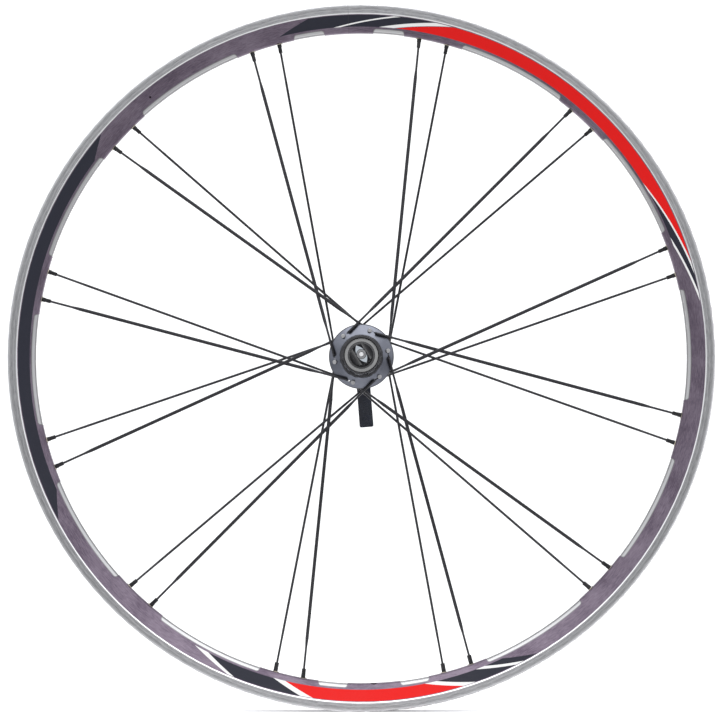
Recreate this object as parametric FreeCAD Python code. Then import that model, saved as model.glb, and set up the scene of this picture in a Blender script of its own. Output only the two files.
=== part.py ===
import FreeCAD, Part

# A 700C rear wheel for a road bicycle: clincher rim, 24 paired spokes, cassette hub with a star
# ratchet, and a quick-release skewer. Millimetres. The origin is the wheel's centre: the axle's
# axis in the middle of the rim. +Y runs along the axle to the left (lever) side, so the drive
# side faces -Y. Angles are degrees counter-clockwise from +X as seen from the drive side.

import math
import os

from FreeCAD import Vector

# ---- rim ---------------------------------------------------------------------------------
RIM_OUTER_R = 317.0
RIM_WIDTH = 19.5
RIM_LIP_RADIUS = 0.8
RIM_INNER_WIDTH = 16.0
HOOK_DEPTH = 0.9
HOOK_TIP_DROP = 1.4
HOOK_ROOT_DROP = 3.1
BEAD_SEAT_R = 311.0
BEAD_SEAT_SLOPE = 0.4
WELL_R = 306.6
WELL_FLOOR_WIDTH = 7.6
WELL_TOP_WIDTH = 11.2
BRIDGE_WALL = 1.3
WELL_SIDE_WALL = 0.75
SEAT_WALL = 2.1
BRAKE_TRACK_INNER_R = 309.4
BRAKE_TRACK_CHAMFER = 0.45
CHAMFER_DROP = 0.9
SIDEWALL = 1.4
BED_R = 292.4
BED_WALL = 2.2
BED_WIDTH = 8.0
BED_OFFSET = 2.5
BED_CORNER_R = 2.4
CAVITY_CORNER_R = 1.2
CHANNEL_CORNER_R = 0.5

# shallow machined reliefs on the spoke bed between the spoke pairs
RELIEF_OUTER_R = 296.3
RELIEF_DEPTH = 0.35
RELIEF_END_GAP = 5.25
RELIEF_CORNER_R = 2.8
SEAM_ANGLE = 92.2
SEAM_HALF_GAP = 4.3
VALVE_ANGLE = 272.2
VALVE_HALF_GAP = 4.6
VALVE_HOLE_R = 3.25
VALVE_HOLE_Y = 1.2
DRAIN_ANGLE = 129.1
DRAIN_CENTRE_R = 301.2
DRAIN_HOLE_R = 0.9

TAPE_THICKNESS = 0.5
TAPE_EDGE_GAP = 0.3

# ---- spoke pattern -----------------------------------------------------------------------
PAIRS = 12
PAIR_ANGLE = 17.2
PAIR_PITCH = 360.0 / PAIRS
PAIR_HALF_ANGLE = 2.5
HOLE_PAIR_ANGLE_DRIVE = 4.7
HOLE_PAIR_ANGLE_LEFT = HOLE_PAIR_ANGLE_DRIVE - 2 * PAIR_HALF_ANGLE
HOLE_HALF_ANGLE = 7.3
FLANGE_PAIRS = 6
FLANGE_PITCH = 360.0 / FLANGE_PAIRS
SPOKE_LEAD_ANGLE = 67.7

SPOKE_R = 1.0
SPOKE_BUTT_R = 1.15
SPOKE_BUTT_TAPER = 4.0
SPOKE_ROUND_LENGTH = 13.0
SPOKE_BLADE_TAPER = 8.0
SPOKE_OUTER_ROUND_LENGTH = 20.0
BLADE_DRIVE = (3.0, 1.0)
BLADE_LEFT = (2.2, 1.3)
SPOKE_ELBOW_R = 1.8
SPOKE_FLANGE_GAP = 0.1
SPOKE_EDGE_CLEARANCE = 1.6
SPOKE_HOLE_GAP = 0.15
SPOKE_HEAD_R = 2.0
SPOKE_HEAD_HEIGHT = 1.1
SPOKE_HEAD_ROUND = 0.6
CROSSING_GAP = 0.55
KEYHOLE_WIDTH = 1.3

NIPPLE_R = 2.0
NIPPLE_FLATS = 3.3
NIPPLE_FLATS_LENGTH = 5.2
NIPPLE_VISIBLE = 8.3
NIPPLE_HEAD_R = 3.0
NIPPLE_HEAD_HEIGHT = 2.4
NIPPLE_HEAD_ROUND = 1.0
NIPPLE_THREAD_GAP = 0.05
NIPPLE_ACCESS_R = 3.2

EYELET_GAP = 0.1
EYELET_WALL = 0.45
EYELET_LIP_R = 3.15
EYELET_LIP = 0.35
EYELET_SEAT_GAP = 0.05

# ---- hub shell ---------------------------------------------------------------------------
DRIVE_FLANGE_Y = -18.0
LEFT_FLANGE_Y = 37.0
DRIVE_FLANGE_R = 29.0
LEFT_FLANGE_R = 27.8
FLANGE_THICKNESS = 3.2
FLANGE_EDGE_R = 0.9
FLANGE_ROOT_R = 1.2
DRIVE_HOLE_CIRCLE_R = 24.4
LEFT_HOLE_CIRCLE_R = 23.6
HUB_DRIVE_BOSS_R = 18.6
HUB_DRIVE_INNER_R = 16.6
HUB_WAIST_R = 12.8
HUB_LEFT_BOSS_R = 17.0
HUB_MOUTH = 2.9
HUB_WAIST_START = 8.0
HUB_WAIST_END = 28.0
HUB_LEFT_END = 52.0
HUB_BORE_R = 10.6
HUB_END_ROUND = 0.7

# ---- bearings ----------------------------------------------------------------------------
AXLE_R = 7.5
HUB_BEARING_OUTER_R = 14.0
HUB_BEARING_WIDTH = 7.0
HUB_BALL_R = 1.98
HUB_BALL_COUNT = 10
FREEHUB_BEARING_OUTER_R = 12.0
FREEHUB_BEARING_WIDTH = 5.0
FREEHUB_BALL_R = 1.19
FREEHUB_BALL_COUNT = 14
BALL_GAP = 0.03
RACE_SHOULDER_SHARE = 0.55
RACE_EDGE_R = 0.4
SEAL_THICKNESS = 0.5
SEAL_RECESS = 0.25
SEAL_GAP = 0.1

# ---- freehub and star ratchet ------------------------------------------------------------
RATCHET_TEETH = 24
RATCHET_PLANE_Y = -19.2
RATCHET_BODY = 4.4
RATCHET_TOOTH = 1.0
RATCHET_TIP_GAP = 0.2
RATCHET_SIDE_GAP_ANGLE = 0.9
RATCHET_BORE_R = 9.6
RATCHET_SPLINE_ROOT_R = 13.0
RATCHET_SPLINE_TIP_R = 13.75
RATCHET_SPLINE_GAP = 0.15
SPLINE_TIP_START = 0.3
SPLINE_TIP_END = 0.55
SPLINE_ROOT_START = 0.85
RATCHET_SPRING_ROOM = 3.2
RATCHET_WIRE_R = 0.35
RATCHET_SPRING_TURNS = 2.5
RATCHET_SPRING_SMALL_R = 11.3
RATCHET_SPRING_LARGE_R = 12.6
RING_NUT_R = 16.9
RING_NUT_SEAT_GAP = 0.3
RING_NUT_THREAD_GAP = 0.05

FREEHUB_END_Y = -61.0
FREEHUB_STEP = 6.0
FREEHUB_NOSE_GAP = 0.6
FREEHUB_NOSE_R = 16.4
FREEHUB_SHIELD_R = 19.0
FREEHUB_SHIELD_GAP = 0.4
FREEHUB_SHIELD_THICKNESS = 3.2
FREEHUB_SPLINE_R = 17.3
FREEHUB_SPLINE_DEPTH = 1.0
FREEHUB_SPLINES = 9
FREEHUB_GROOVE_ANGLE = 17.0
FREEHUB_NARROW_GROOVE_ANGLE = 11.0
FREEHUB_SPLINE_PHASE = 2.0
LOCKRING_THREAD_R = 15.3
FREEHUB_BORE_R = 10.8
FREEHUB_EDGE_R = 0.4
SEAL_LIP_GAP = 0.06
SEAL_LIP_WIDTH = 1.6

# ---- axle and end caps -------------------------------------------------------------------
OVER_LOCKNUT = 130.0
STUB_R = 5.0
STUB_LENGTH = 5.0
LOCKNUT_R = 9.5
LOCKNUT_THICKNESS = 3.0
CAP_BODY_R = 8.9
CAP_LEFT_SKIRT_R = 10.6
CAP_AXLE_OVERLAP = 2.5
CAP_SPIGOT_LENGTH = 10.0
CAP_EDGE_R = 0.4
CAP_DUST_LIP_R = 13.5
CAP_DUST_LIP = 1.4
CAP_DUST_GAP = 0.4
AXLE_BORE_R = 5.5
AXLE_SHOULDER_R = 9.2
SKEWER_BORE_R = 2.8
KNURLS = 30
KNURL_DEPTH = 0.3
KNURL_WIDTH = 0.7
SLEEVE_WALL = 1.2

# ---- quick-release skewer ----------------------------------------------------------------
DROPOUT_ROOM = 7.0
ROD_R = 2.5
ROD_THREAD_R = 2.45
ROD_THREAD_LENGTH = 22.0
ROD_END_CHAMFER = 0.7
ROD_END_PROUD = 0.4
NUT_LENGTH = 12.6
NUT_R = 9.9
NUT_FRONT_R = 8.8
NUT_EDGE_R = 1.0
NUT_GRIP_WIDTH = 8.2
NUT_GRIP_ANGLE = 122.0
NUT_GRIP_SCOOP_R = 26.0
NUT_GRIP_START = 2.6
NUT_GRIP_BASE_WIDTH = 15.6
SPRING_POCKET_R = 6.2
SPRING_POCKET_DEPTH = 5.0
INSERT_R = 4.0
INSERT_PROUD = 0.3
INSERT_THREAD_GAP = 0.05
SPRING_WIRE_R = 0.4
SPRING_SMALL_R = 3.6
SPRING_LARGE_R = 5.4
SPRING_TURNS = 4.0
SPRING_END_GAP = 0.15
COIL_STEPS = 20

HOUSING_R = 10.0
HOUSING_PIVOT = 9.0
HOUSING_FLANGE = 1.4
HOUSING_FLAT_HALF = 7.6
HOUSING_BORE_GAP = 0.15
EYE_R = 6.0
EYE_BACK = 5.5
EYE_FRONT = 6.0
CAM_THROW = 0.75
CAM_R = 4.0
CAM_HALF_LENGTH = 6.0
CAM_EYE_GAP = 0.25
CAM_EYE_SIDE_GAP = 1.0
CAM_NEAR_R = 4.85
CAM_FAR_R = 3.2
CAM_BORE_GAP = 0.06

LEVER_LEAN = 4.5
LEVER_TIP = 62.5
LEVER_EAR_GAP = 0.25
LEVER_EAR = 2.9
LEVER_EAR_R = 7.2
LEVER_ROOT_R = 11.0
LEVER_WAIST_Z = 27.0
LEVER_WAIST_WIDTH = 12.6
LEVER_TIP_WIDTH = 12.9
LEVER_HALF_THICKNESS = 3.4
LEVER_BOW = 3.6
LEVER_TIP_THICKNESS = 3.2
LEVER_TIP_DROP = 1.2
LEVER_SCOOP_START = 36.0
LEVER_SCOOP_R = 12.0
LEVER_SCOOP_DEPTH = 1.1
LEVER_CORNER_R = 1.6

# ---- sizes that follow from the ones above --------------------------------------------------
AXIS = Vector(0, 1, 0)
CENTRE = Vector(0, 0, 0)
LOCKNUT_Y = OVER_LOCKNUT / 2
STUB_Y = LOCKNUT_Y + STUB_LENGTH
CLAMP_Y = LOCKNUT_Y + DROPOUT_ROOM
PIVOT_Y = CLAMP_Y + HOUSING_PIVOT
DRIVE_FLANGE_OUTER_Y = DRIVE_FLANGE_Y - FLANGE_THICKNESS / 2
HUB_DRIVE_END = DRIVE_FLANGE_OUTER_Y - HUB_MOUTH
RING_NUT_OUTER_Y = RATCHET_PLANE_Y
RATCHET_REACH = RATCHET_TIP_GAP / 2 + RATCHET_TOOTH + RATCHET_BODY
RATCHET_HUB_BACK_Y = RATCHET_PLANE_Y + RATCHET_REACH
RATCHET_FREEHUB_BACK_Y = RATCHET_PLANE_Y - RATCHET_REACH
HUB_BEARING_DRIVE_Y = RATCHET_HUB_BACK_Y + RATCHET_SPRING_ROOM
HUB_BEARING_LEFT_Y = HUB_LEFT_END - HUB_BEARING_WIDTH - SEAL_THICKNESS - SEAL_THICKNESS
FREEHUB_INNER_BEARING_Y = RATCHET_FREEHUB_BACK_Y - RATCHET_SPRING_ROOM - FREEHUB_BEARING_WIDTH
FREEHUB_OUTER_BEARING_Y = FREEHUB_END_Y + FREEHUB_STEP
FREEHUB_NOSE_Y = RING_NUT_OUTER_Y - FREEHUB_NOSE_GAP
FREEHUB_SHIELD_Y = HUB_DRIVE_END - FREEHUB_SHIELD_GAP
LEVER_EAR_HALF = HOUSING_FLAT_HALF + LEVER_EAR_GAP + LEVER_EAR
NIPPLE_BORE_R = SPOKE_R + NIPPLE_THREAD_GAP
EYELET_BORE_R = NIPPLE_R + EYELET_GAP
EYELET_SLEEVE_R = EYELET_BORE_R + EYELET_WALL


# ---- drawing helpers -----------------------------------------------------------------------

def polar(radius, y, degrees):
    angle = math.radians(degrees)
    return Vector(radius * math.cos(angle), y, radius * math.sin(angle))


def turned(shape, degrees):
    """A copy of the shape turned about the axle, counter-clockwise as the drive side sees it."""
    copy = shape.copy()
    copy.rotate(CENTRE, Vector(0, -1, 0), degrees)
    return copy


def rounded_wire(corners):
    """A closed wire through (x, y, corner radius) points in the XY plane."""
    count = len(corners)
    arcs = []
    for i, (x, y, radius) in enumerate(corners):
        here = Vector(x, y, 0)
        last_x, last_y, _ = corners[i - 1]
        next_x, next_y, _ = corners[(i + 1) % count]
        back = (Vector(last_x, last_y, 0) - here).normalize()
        ahead = (Vector(next_x, next_y, 0) - here).normalize()
        if radius == 0:
            arcs.append((here, None, here))
            continue
        half = back.getAngle(ahead) / 2
        reach = radius / math.tan(half)
        middle = here + (back + ahead).normalize() * (radius / math.sin(half) - radius)
        arcs.append((here + back * reach, middle, here + ahead * reach))
    edges = []
    for i, (first, middle, last) in enumerate(arcs):
        edges.append(Part.LineSegment(arcs[i - 1][2], first).toShape())
        if middle is not None:
            edges.append(Part.Arc(first, middle, last).toShape())
    return Part.Wire(edges)


def turned_profile(corners):
    """The solid that a profile of (radius, y, corner radius) points sweeps about the axle."""
    return Part.Face(rounded_wire(corners)).revolve(CENTRE, AXIS, 360)


def ring(inner_r, outer_r, y_low, y_high, edge_r=0.0):
    corners = [
        (inner_r, y_low, 0),
        (outer_r, y_low, edge_r),
        (outer_r, y_high, edge_r),
        (inner_r, y_high, 0),
    ]
    return turned_profile(corners)


def rod_between(start, end, radius):
    along = end - start
    return Part.makeCylinder(radius, along.Length, start, along)


def aimed(shape, point, direction):
    """A copy of a shape drawn along +Z, moved to the point with +Z turned to the direction."""
    copy = shape.copy()
    copy.Placement = FreeCAD.Placement(point, FreeCAD.Rotation(Vector(0, 0, 1), direction))
    return copy


def turned_about_z(corners):
    """The solid that a profile of (radius, height, corner radius) points sweeps about +Z."""
    wire = rounded_wire(corners)
    wire.rotate(CENTRE, Vector(1, 0, 0), 90)
    return Part.Face(wire).revolve(CENTRE, Vector(0, 0, 1), 360)


def prism(points, depth):
    """A polygon pushed along the depth vector."""
    return Part.Face(Part.makePolygon(points + [points[0]])).extrude(depth)


def spline_prism(count, root_r, tip_r, y_low, y_high):
    """A bar with evenly spaced straight splines, along the axle."""
    pitch = 360.0 / count
    tooth = (
        (0.0, root_r),
        (SPLINE_TIP_START, tip_r),
        (SPLINE_TIP_END, tip_r),
        (SPLINE_ROOT_START, root_r),
    )
    points = []
    for i in range(count):
        for share, radius in tooth:
            points.append(polar(radius, y_low, (i + share) * pitch))
    return prism(points, Vector(0, y_high - y_low, 0))


def oval_section(point, along, wide, thick):
    """An oval wire across a line, with its wide way in the plane of the wheel."""
    across = along.cross(AXIS).normalize()
    flat = along.cross(across).normalize()
    if wide == thick:
        edge = Part.makeCircle(wide / 2)
    else:
        edge = Part.Ellipse(CENTRE, wide / 2, thick / 2).toShape()
    frame = FreeCAD.Matrix(
        across.x, flat.x, along.x, point.x,
        across.y, flat.y, along.y, point.y,
        across.z, flat.z, along.z, point.z,
        0, 0, 0, 1,
    )
    edge.transformShape(frame)
    return Part.Wire(edge)


def coil(y_start, y_end, start_r, end_r, turns, wire_r):
    """A coil spring of round wire about the axle, from one radius to another."""
    steps = round(turns * COIL_STEPS)
    sections = []
    for i in range(steps + 1):
        share = i / steps
        angle = 360.0 * turns * share
        point = polar(start_r + (end_r - start_r) * share, y_start + (y_end - y_start) * share, angle)
        around = polar(1, 0, angle + 90) * (2 * math.pi * turns * point.dot(polar(1, 0, angle)))
        along = around + polar(end_r - start_r, y_end - y_start, angle)
        sections.append(oval_section(point, along.normalize(), 2 * wire_r, 2 * wire_r))
    return Part.makeLoft(sections, True, True)


# ---- rim -----------------------------------------------------------------------------------

def sidewall_y(radius, side, inset=0.0):
    """Where the rim's sloping outer wall lies at a radius: side is -1 for drive, +1 for left."""
    chamfer_r = BRAKE_TRACK_INNER_R - CHAMFER_DROP
    top_y = side * (RIM_WIDTH / 2 - BRAKE_TRACK_CHAMFER)
    bed_y = BED_OFFSET + side * BED_WIDTH / 2
    slope = (top_y - bed_y) / (chamfer_r - BED_R)
    return bed_y + slope * (radius - BED_R) - side * inset * math.hypot(1, slope)


def rim_side_corners(side):
    """The outer outline of one side of the rim, from the spoke bed to the tyre well."""
    half = RIM_WIDTH / 2
    inner = RIM_INNER_WIDTH / 2
    return [
        (BED_R, BED_OFFSET + side * BED_WIDTH / 2, BED_CORNER_R),
        (BRAKE_TRACK_INNER_R - CHAMFER_DROP, side * (half - BRAKE_TRACK_CHAMFER), 0),
        (BRAKE_TRACK_INNER_R, side * half, 0),
        (RIM_OUTER_R, side * half, RIM_LIP_RADIUS),
        (RIM_OUTER_R, side * inner, CHANNEL_CORNER_R),
        (RIM_OUTER_R - HOOK_TIP_DROP, side * (inner - HOOK_DEPTH), CHANNEL_CORNER_R),
        (RIM_OUTER_R - HOOK_ROOT_DROP, side * inner, CHANNEL_CORNER_R),
        (BEAD_SEAT_R, side * inner, CHANNEL_CORNER_R),
        (BEAD_SEAT_R - BEAD_SEAT_SLOPE, side * WELL_TOP_WIDTH / 2, CHANNEL_CORNER_R),
        (WELL_R, side * WELL_FLOOR_WIDTH / 2, CHANNEL_CORNER_R),
    ]


def rim_cavity_corners(side):
    """One side of the rim's hollow, from the spoke bed to the bridge under the tyre well."""
    floor_r = BED_R + BED_WALL
    roof_r = BEAD_SEAT_R - SEAT_WALL
    roof_y = side * (WELL_TOP_WIDTH / 2 + WELL_SIDE_WALL)
    return [
        (floor_r, sidewall_y(floor_r, side, SIDEWALL), CAVITY_CORNER_R),
        (roof_r, sidewall_y(roof_r, side, SIDEWALL), CHANNEL_CORNER_R),
        (roof_r, roof_y, CHANNEL_CORNER_R),
        (WELL_R - BRIDGE_WALL, side * (WELL_FLOOR_WIDTH / 2 + WELL_SIDE_WALL), CHANNEL_CORNER_R),
    ]


def both_sides(corners_of):
    return corners_of(-1) + corners_of(1)[::-1]


def relief_spans():
    """The angles between spoke pairs that are machined, clear of the seam and the valve hole."""
    spans = []
    for i in range(PAIRS):
        start = PAIR_ANGLE + i * PAIR_PITCH + RELIEF_END_GAP
        end = PAIR_ANGLE + (i + 1) * PAIR_PITCH - RELIEF_END_GAP
        for centre, half_gap in ((SEAM_ANGLE, SEAM_HALF_GAP), (VALVE_ANGLE, VALVE_HALF_GAP)):
            if start < centre < end:
                spans.append((start, centre - half_gap))
                start = centre + half_gap
        spans.append((start, end))
    return spans


def relief_outline(start, end):
    """A curved slot seen from the side, with rounded outer corners, across the rim's width."""
    inner_r = BED_R - RELIEF_CORNER_R
    corner_angle = math.degrees(RELIEF_CORNER_R / RELIEF_OUTER_R)
    y = -RIM_WIDTH
    rounded = RELIEF_OUTER_R - RELIEF_CORNER_R
    corner_mid_r = rounded + RELIEF_CORNER_R * math.sin(math.pi / 4)
    corner_mid = corner_angle * (1 - math.cos(math.pi / 4))
    first = polar(rounded, y, start)
    second = polar(RELIEF_OUTER_R, y, start + corner_angle)
    third = polar(RELIEF_OUTER_R, y, end - corner_angle)
    fourth = polar(rounded, y, end)
    middle = (start + end) / 2
    edges = [
        Part.LineSegment(polar(inner_r, y, start), first).toShape(),
        Part.Arc(first, polar(corner_mid_r, y, start + corner_mid), second).toShape(),
        Part.Arc(second, polar(RELIEF_OUTER_R, y, middle), third).toShape(),
        Part.Arc(third, polar(corner_mid_r, y, end - corner_mid), fourth).toShape(),
        Part.LineSegment(fourth, polar(inner_r, y, end)).toShape(),
        Part.Arc(polar(inner_r, y, end), polar(inner_r, y, middle), polar(inner_r, y, start)).toShape(),
    ]
    return Part.Face(Part.Wire(edges)).extrude(Vector(0, 2 * RIM_WIDTH, 0))


def relief_core():
    """What the machining leaves: the spoke bed drawn in by the relief's depth."""
    bed_r = BED_R + RELIEF_DEPTH
    top_r = BED_R + 2 * BED_CORNER_R + RELIEF_CORNER_R
    return turned_profile([
        (bed_r, sidewall_y(bed_r, -1, RELIEF_DEPTH), BED_CORNER_R),
        (top_r, sidewall_y(top_r, -1, RELIEF_DEPTH), 0),
        (top_r, sidewall_y(top_r, 1, RELIEF_DEPTH), 0),
        (bed_r, sidewall_y(bed_r, 1, RELIEF_DEPTH), BED_CORNER_R),
    ])


def rim(spokes):
    body = turned_profile(both_sides(rim_side_corners))
    body = body.cut(turned_profile(both_sides(rim_cavity_corners)))
    core = relief_core()
    cutters = []
    for start, end in relief_spans():
        cutters.append(relief_outline(start, end).cut(core))
    wall = BED_WALL + EYELET_LIP
    head_room = EYELET_LIP + EYELET_SEAT_GAP + NIPPLE_HEAD_HEIGHT
    bridge_r = WELL_R - BRIDGE_WALL
    for spoke in spokes:
        seat, outward = spoke["seat"], spoke["outward"]
        cutters.append(rod_between(seat - outward * wall, seat + outward * 2 * wall, EYELET_SLEEVE_R))
        for start, reach in ((seat, -2 * EYELET_LIP_R), (seat + outward * BED_WALL, head_room)):
            cutters.append(rod_between(start, start + outward * reach, EYELET_LIP_R + EYELET_GAP))
        radial = Vector(seat.x, 0, seat.z).normalize()
        access = (radial * (bridge_r - BRIDGE_WALL), radial * BEAD_SEAT_R)
        cutters.append(rod_between(*access, NIPPLE_ACCESS_R))
    valve_low = polar(BED_R - BED_WALL, VALVE_HOLE_Y, VALVE_ANGLE)
    valve_high = polar(RIM_OUTER_R, VALVE_HOLE_Y, VALVE_ANGLE)
    cutters.append(rod_between(valve_low, valve_high, VALVE_HOLE_R))
    drain_out = polar(DRAIN_CENTRE_R, -RIM_WIDTH / 2, DRAIN_ANGLE)
    cutters.append(rod_between(drain_out, polar(DRAIN_CENTRE_R, 0, DRAIN_ANGLE), DRAIN_HOLE_R))
    return body.cut(cutters)


def rim_tape():
    half = WELL_FLOOR_WIDTH / 2 - TAPE_EDGE_GAP
    tape = ring(WELL_R, WELL_R + TAPE_THICKNESS, -half, half)
    low = polar(WELL_R - TAPE_THICKNESS, VALVE_HOLE_Y, VALVE_ANGLE)
    high = polar(WELL_R + 2 * TAPE_THICKNESS, VALVE_HOLE_Y, VALVE_ANGLE)
    return tape.cut(rod_between(low, high, VALVE_HOLE_R))


# ---- spokes --------------------------------------------------------------------------------

def crossing_point(hole, seat, degrees):
    """Where the straight line from hole to seat, seen from the side, passes an angle."""
    ray = polar(1, 0, degrees)
    line = seat - hole
    share = (hole.z * ray.x - hole.x * ray.z) / (line.x * ray.z - line.z * ray.x)
    return hole + line * share


def point_at_radius(start, toward, radius):
    """Where a line parallel to the flange, from start towards a point, reaches a radius."""
    way = Vector(toward.x - start.x, 0, toward.z - start.z).normalize()
    lead = start.x * way.x + start.z * way.z
    inside = start.x ** 2 + start.z ** 2 - radius ** 2
    return start + way * (math.sqrt(lead ** 2 - inside) - lead)


def spoke_layout(side, index, runs_inside):
    """One spoke's line: from its flange hole, flat to the flange's edge, past its outer crossing,
    to its seat in the rim.

    side is -1 for drive and +1 for left. The spokes that run on the flange's inner face lead
    counter-clockwise, and pass outboard of the other kind where the two cross.
    """
    turn = 1 if runs_inside else -1
    flange_y = DRIVE_FLANGE_Y if side < 0 else LEFT_FLANGE_Y
    circle_r = DRIVE_HOLE_CIRCLE_R if side < 0 else LEFT_HOLE_CIRCLE_R
    clear_r = (DRIVE_FLANGE_R if side < 0 else LEFT_FLANGE_R) + SPOKE_EDGE_CLEARANCE
    pair = HOLE_PAIR_ANGLE_DRIVE if side < 0 else HOLE_PAIR_ANGLE_LEFT
    blade = BLADE_DRIVE if side < 0 else BLADE_LEFT
    hole_angle = pair + index * FLANGE_PITCH + turn * HOLE_HALF_ANGLE
    hole = polar(circle_r, flange_y, hole_angle)
    seat = polar(BED_R, BED_OFFSET, hole_angle + turn * SPOKE_LEAD_ANGLE)
    run = -side if runs_inside else side
    face_offset = FLANGE_THICKNESS / 2 + SPOKE_BUTT_R + SPOKE_FLANGE_GAP
    corner = hole + AXIS * (run * face_offset)
    crossing = crossing_point(corner, seat, hole_angle + turn * (FLANGE_PITCH - HOLE_HALF_ANGLE))
    straight_y = flange_y + (BED_OFFSET - flange_y) * (crossing - corner).Length / (seat - corner).Length
    apart = side * (blade[1] + CROSSING_GAP) / 2
    crossing.y = straight_y + (apart if runs_inside else -apart)
    return {
        "run": run, "hole": hole, "corner": corner, "edge": point_at_radius(corner, crossing, clear_r),
        "crossing": crossing, "seat": seat, "outward": (seat - crossing).normalize(), "blade": blade,
    }


def spoke_head():
    return turned_about_z([
        (0, 0, 0),
        (SPOKE_HEAD_R, 0, 0),
        (SPOKE_HEAD_R, SPOKE_HEAD_HEIGHT, SPOKE_HEAD_ROUND),
        (0, SPOKE_HEAD_HEIGHT, 0),
    ])


def spoke(layout):
    corner, edge, crossing = layout["corner"], layout["edge"], layout["crossing"]
    through = AXIS * layout["run"]
    first_run = (edge - corner).normalize()
    second_run = (crossing - edge).normalize()
    bend = through.getAngle(first_run)
    reach = SPOKE_ELBOW_R * math.tan(bend / 2)
    bend_start = corner - through * reach
    bend_end = corner + first_run * reach
    head_seat = layout["hole"] - through * (FLANGE_THICKNESS / 2)
    side_way = (first_run - through * through.dot(first_run)).normalize()
    disc = Part.Face(Part.Wire(Part.makeCircle(SPOKE_BUTT_R, bend_start, through)))
    elbow = disc.revolve(
        bend_start + side_way * SPOKE_ELBOW_R, through.cross(first_run), math.degrees(bend)
    )
    wide, thick = layout["blade"]
    outward = layout["outward"]
    end = layout["seat"] + outward * (BED_WALL + EYELET_LIP)
    visible_end = layout["seat"] - outward * NIPPLE_VISIBLE
    blade_end = visible_end - outward * SPOKE_OUTER_ROUND_LENGTH
    butt = 2 * SPOKE_BUTT_R
    plain = 2 * SPOKE_R
    blade_start = edge + second_run * SPOKE_ROUND_LENGTH
    stations = [
        (bend_end, first_run, butt, butt),
        (edge, (first_run + second_run).normalize(), butt, butt),
        (edge + second_run * SPOKE_BUTT_TAPER, second_run, plain, plain),
        (blade_start, second_run, plain, plain),
        (blade_start + second_run * SPOKE_BLADE_TAPER, second_run, wide, thick),
        (crossing, (second_run + outward).normalize(), wide, thick),
        (blade_end - outward * SPOKE_BLADE_TAPER, outward, wide, thick),
        (blade_end, outward, plain, plain),
        (end, outward, plain, plain),
    ]
    shaft = Part.makeLoft([oval_section(*station) for station in stations], True, True)
    shank = rod_between(head_seat, bend_start, SPOKE_BUTT_R)
    head = aimed(spoke_head(), head_seat, through * -1)
    return head.fuse([shank, elbow, shaft])


def nipple():
    """A spoke nipple along +Z, with its seat in the spoke bed at the origin."""
    grip = Part.makeCylinder(NIPPLE_R, NIPPLE_FLATS_LENGTH)
    square = Part.makeBox(NIPPLE_FLATS, NIPPLE_FLATS, NIPPLE_FLATS_LENGTH)
    square.translate(Vector(-NIPPLE_FLATS / 2, -NIPPLE_FLATS / 2, 0))
    grip = grip.common(square)
    grip.translate(Vector(0, 0, -NIPPLE_VISIBLE))
    shank_low = NIPPLE_FLATS_LENGTH - NIPPLE_VISIBLE
    head_low = BED_WALL + EYELET_LIP + EYELET_SEAT_GAP
    head_high = head_low + NIPPLE_HEAD_HEIGHT
    body = turned_about_z([
        (0, shank_low, 0),
        (NIPPLE_R, shank_low, 0),
        (NIPPLE_R, head_low, 0),
        (NIPPLE_HEAD_R, head_low, 0),
        (NIPPLE_HEAD_R, head_high, NIPPLE_HEAD_ROUND),
        (0, head_high, 0),
    ])
    bore_low = Vector(0, 0, -2 * NIPPLE_VISIBLE)
    bore = Part.makeCylinder(NIPPLE_BORE_R, head_high - bore_low.z, bore_low)
    return body.fuse(grip).removeSplitter().cut(bore)


def eyelet():
    """A pressed sleeve with a lip on each face of the spoke bed, along +Z."""
    upper = BED_WALL + EYELET_LIP
    return turned_about_z([
        (EYELET_BORE_R, -EYELET_LIP, 0),
        (EYELET_LIP_R, -EYELET_LIP, EYELET_LIP / 2),
        (EYELET_LIP_R, 0, 0),
        (EYELET_SLEEVE_R, 0, 0),
        (EYELET_SLEEVE_R, BED_WALL, 0),
        (EYELET_LIP_R, BED_WALL, 0),
        (EYELET_LIP_R, upper, 0),
        (EYELET_BORE_R, upper, 0),
    ])


def placed_at_seats(piece, spokes):
    return Part.makeCompound([aimed(piece, s["seat"], s["outward"]) for s in spokes])


# ---- bearings ------------------------------------------------------------------------------

def ball_track(bore_r, outer_r, width, y_low, ball_r):
    """The torus that the balls' grooves are cut to."""
    pitch_r = (bore_r + outer_r) / 2
    centre = Vector(0, y_low + width / 2, 0)
    return Part.makeTorus(pitch_r, ball_r + BALL_GAP, centre, AXIS)


def inner_race(bore_r, outer_r, width, y_low, ball_r):
    top_r = (bore_r + outer_r) / 2 - ball_r * RACE_SHOULDER_SHARE
    race = ring(bore_r, top_r, y_low, y_low + width)
    return race.cut(ball_track(bore_r, outer_r, width, y_low, ball_r))


def outer_race(bore_r, outer_r, width, y_low, ball_r):
    low_r = (bore_r + outer_r) / 2 + ball_r * RACE_SHOULDER_SHARE
    race = ring(low_r, outer_r, y_low, y_low + width, RACE_EDGE_R)
    return race.cut(ball_track(bore_r, outer_r, width, y_low, ball_r))


def ball_ring(bore_r, outer_r, width, y_low, ball_r, count):
    pitch_r = (bore_r + outer_r) / 2
    y = y_low + width / 2
    return [Part.makeSphere(ball_r, polar(pitch_r, y, i * 360.0 / count)) for i in range(count)]


def hub_bearing(make, y_low, *more):
    return make(AXLE_R, HUB_BEARING_OUTER_R, HUB_BEARING_WIDTH, y_low, HUB_BALL_R, *more)


def freehub_bearing(make, y_low, *more):
    return make(AXLE_R, FREEHUB_BEARING_OUTER_R, FREEHUB_BEARING_WIDTH, y_low, FREEHUB_BALL_R, *more)


def bearing_balls(bearing, lows, count):
    balls = []
    for y_low in lows:
        balls += bearing(ball_ring, y_low, count)
    return Part.makeCompound(balls)


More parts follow.
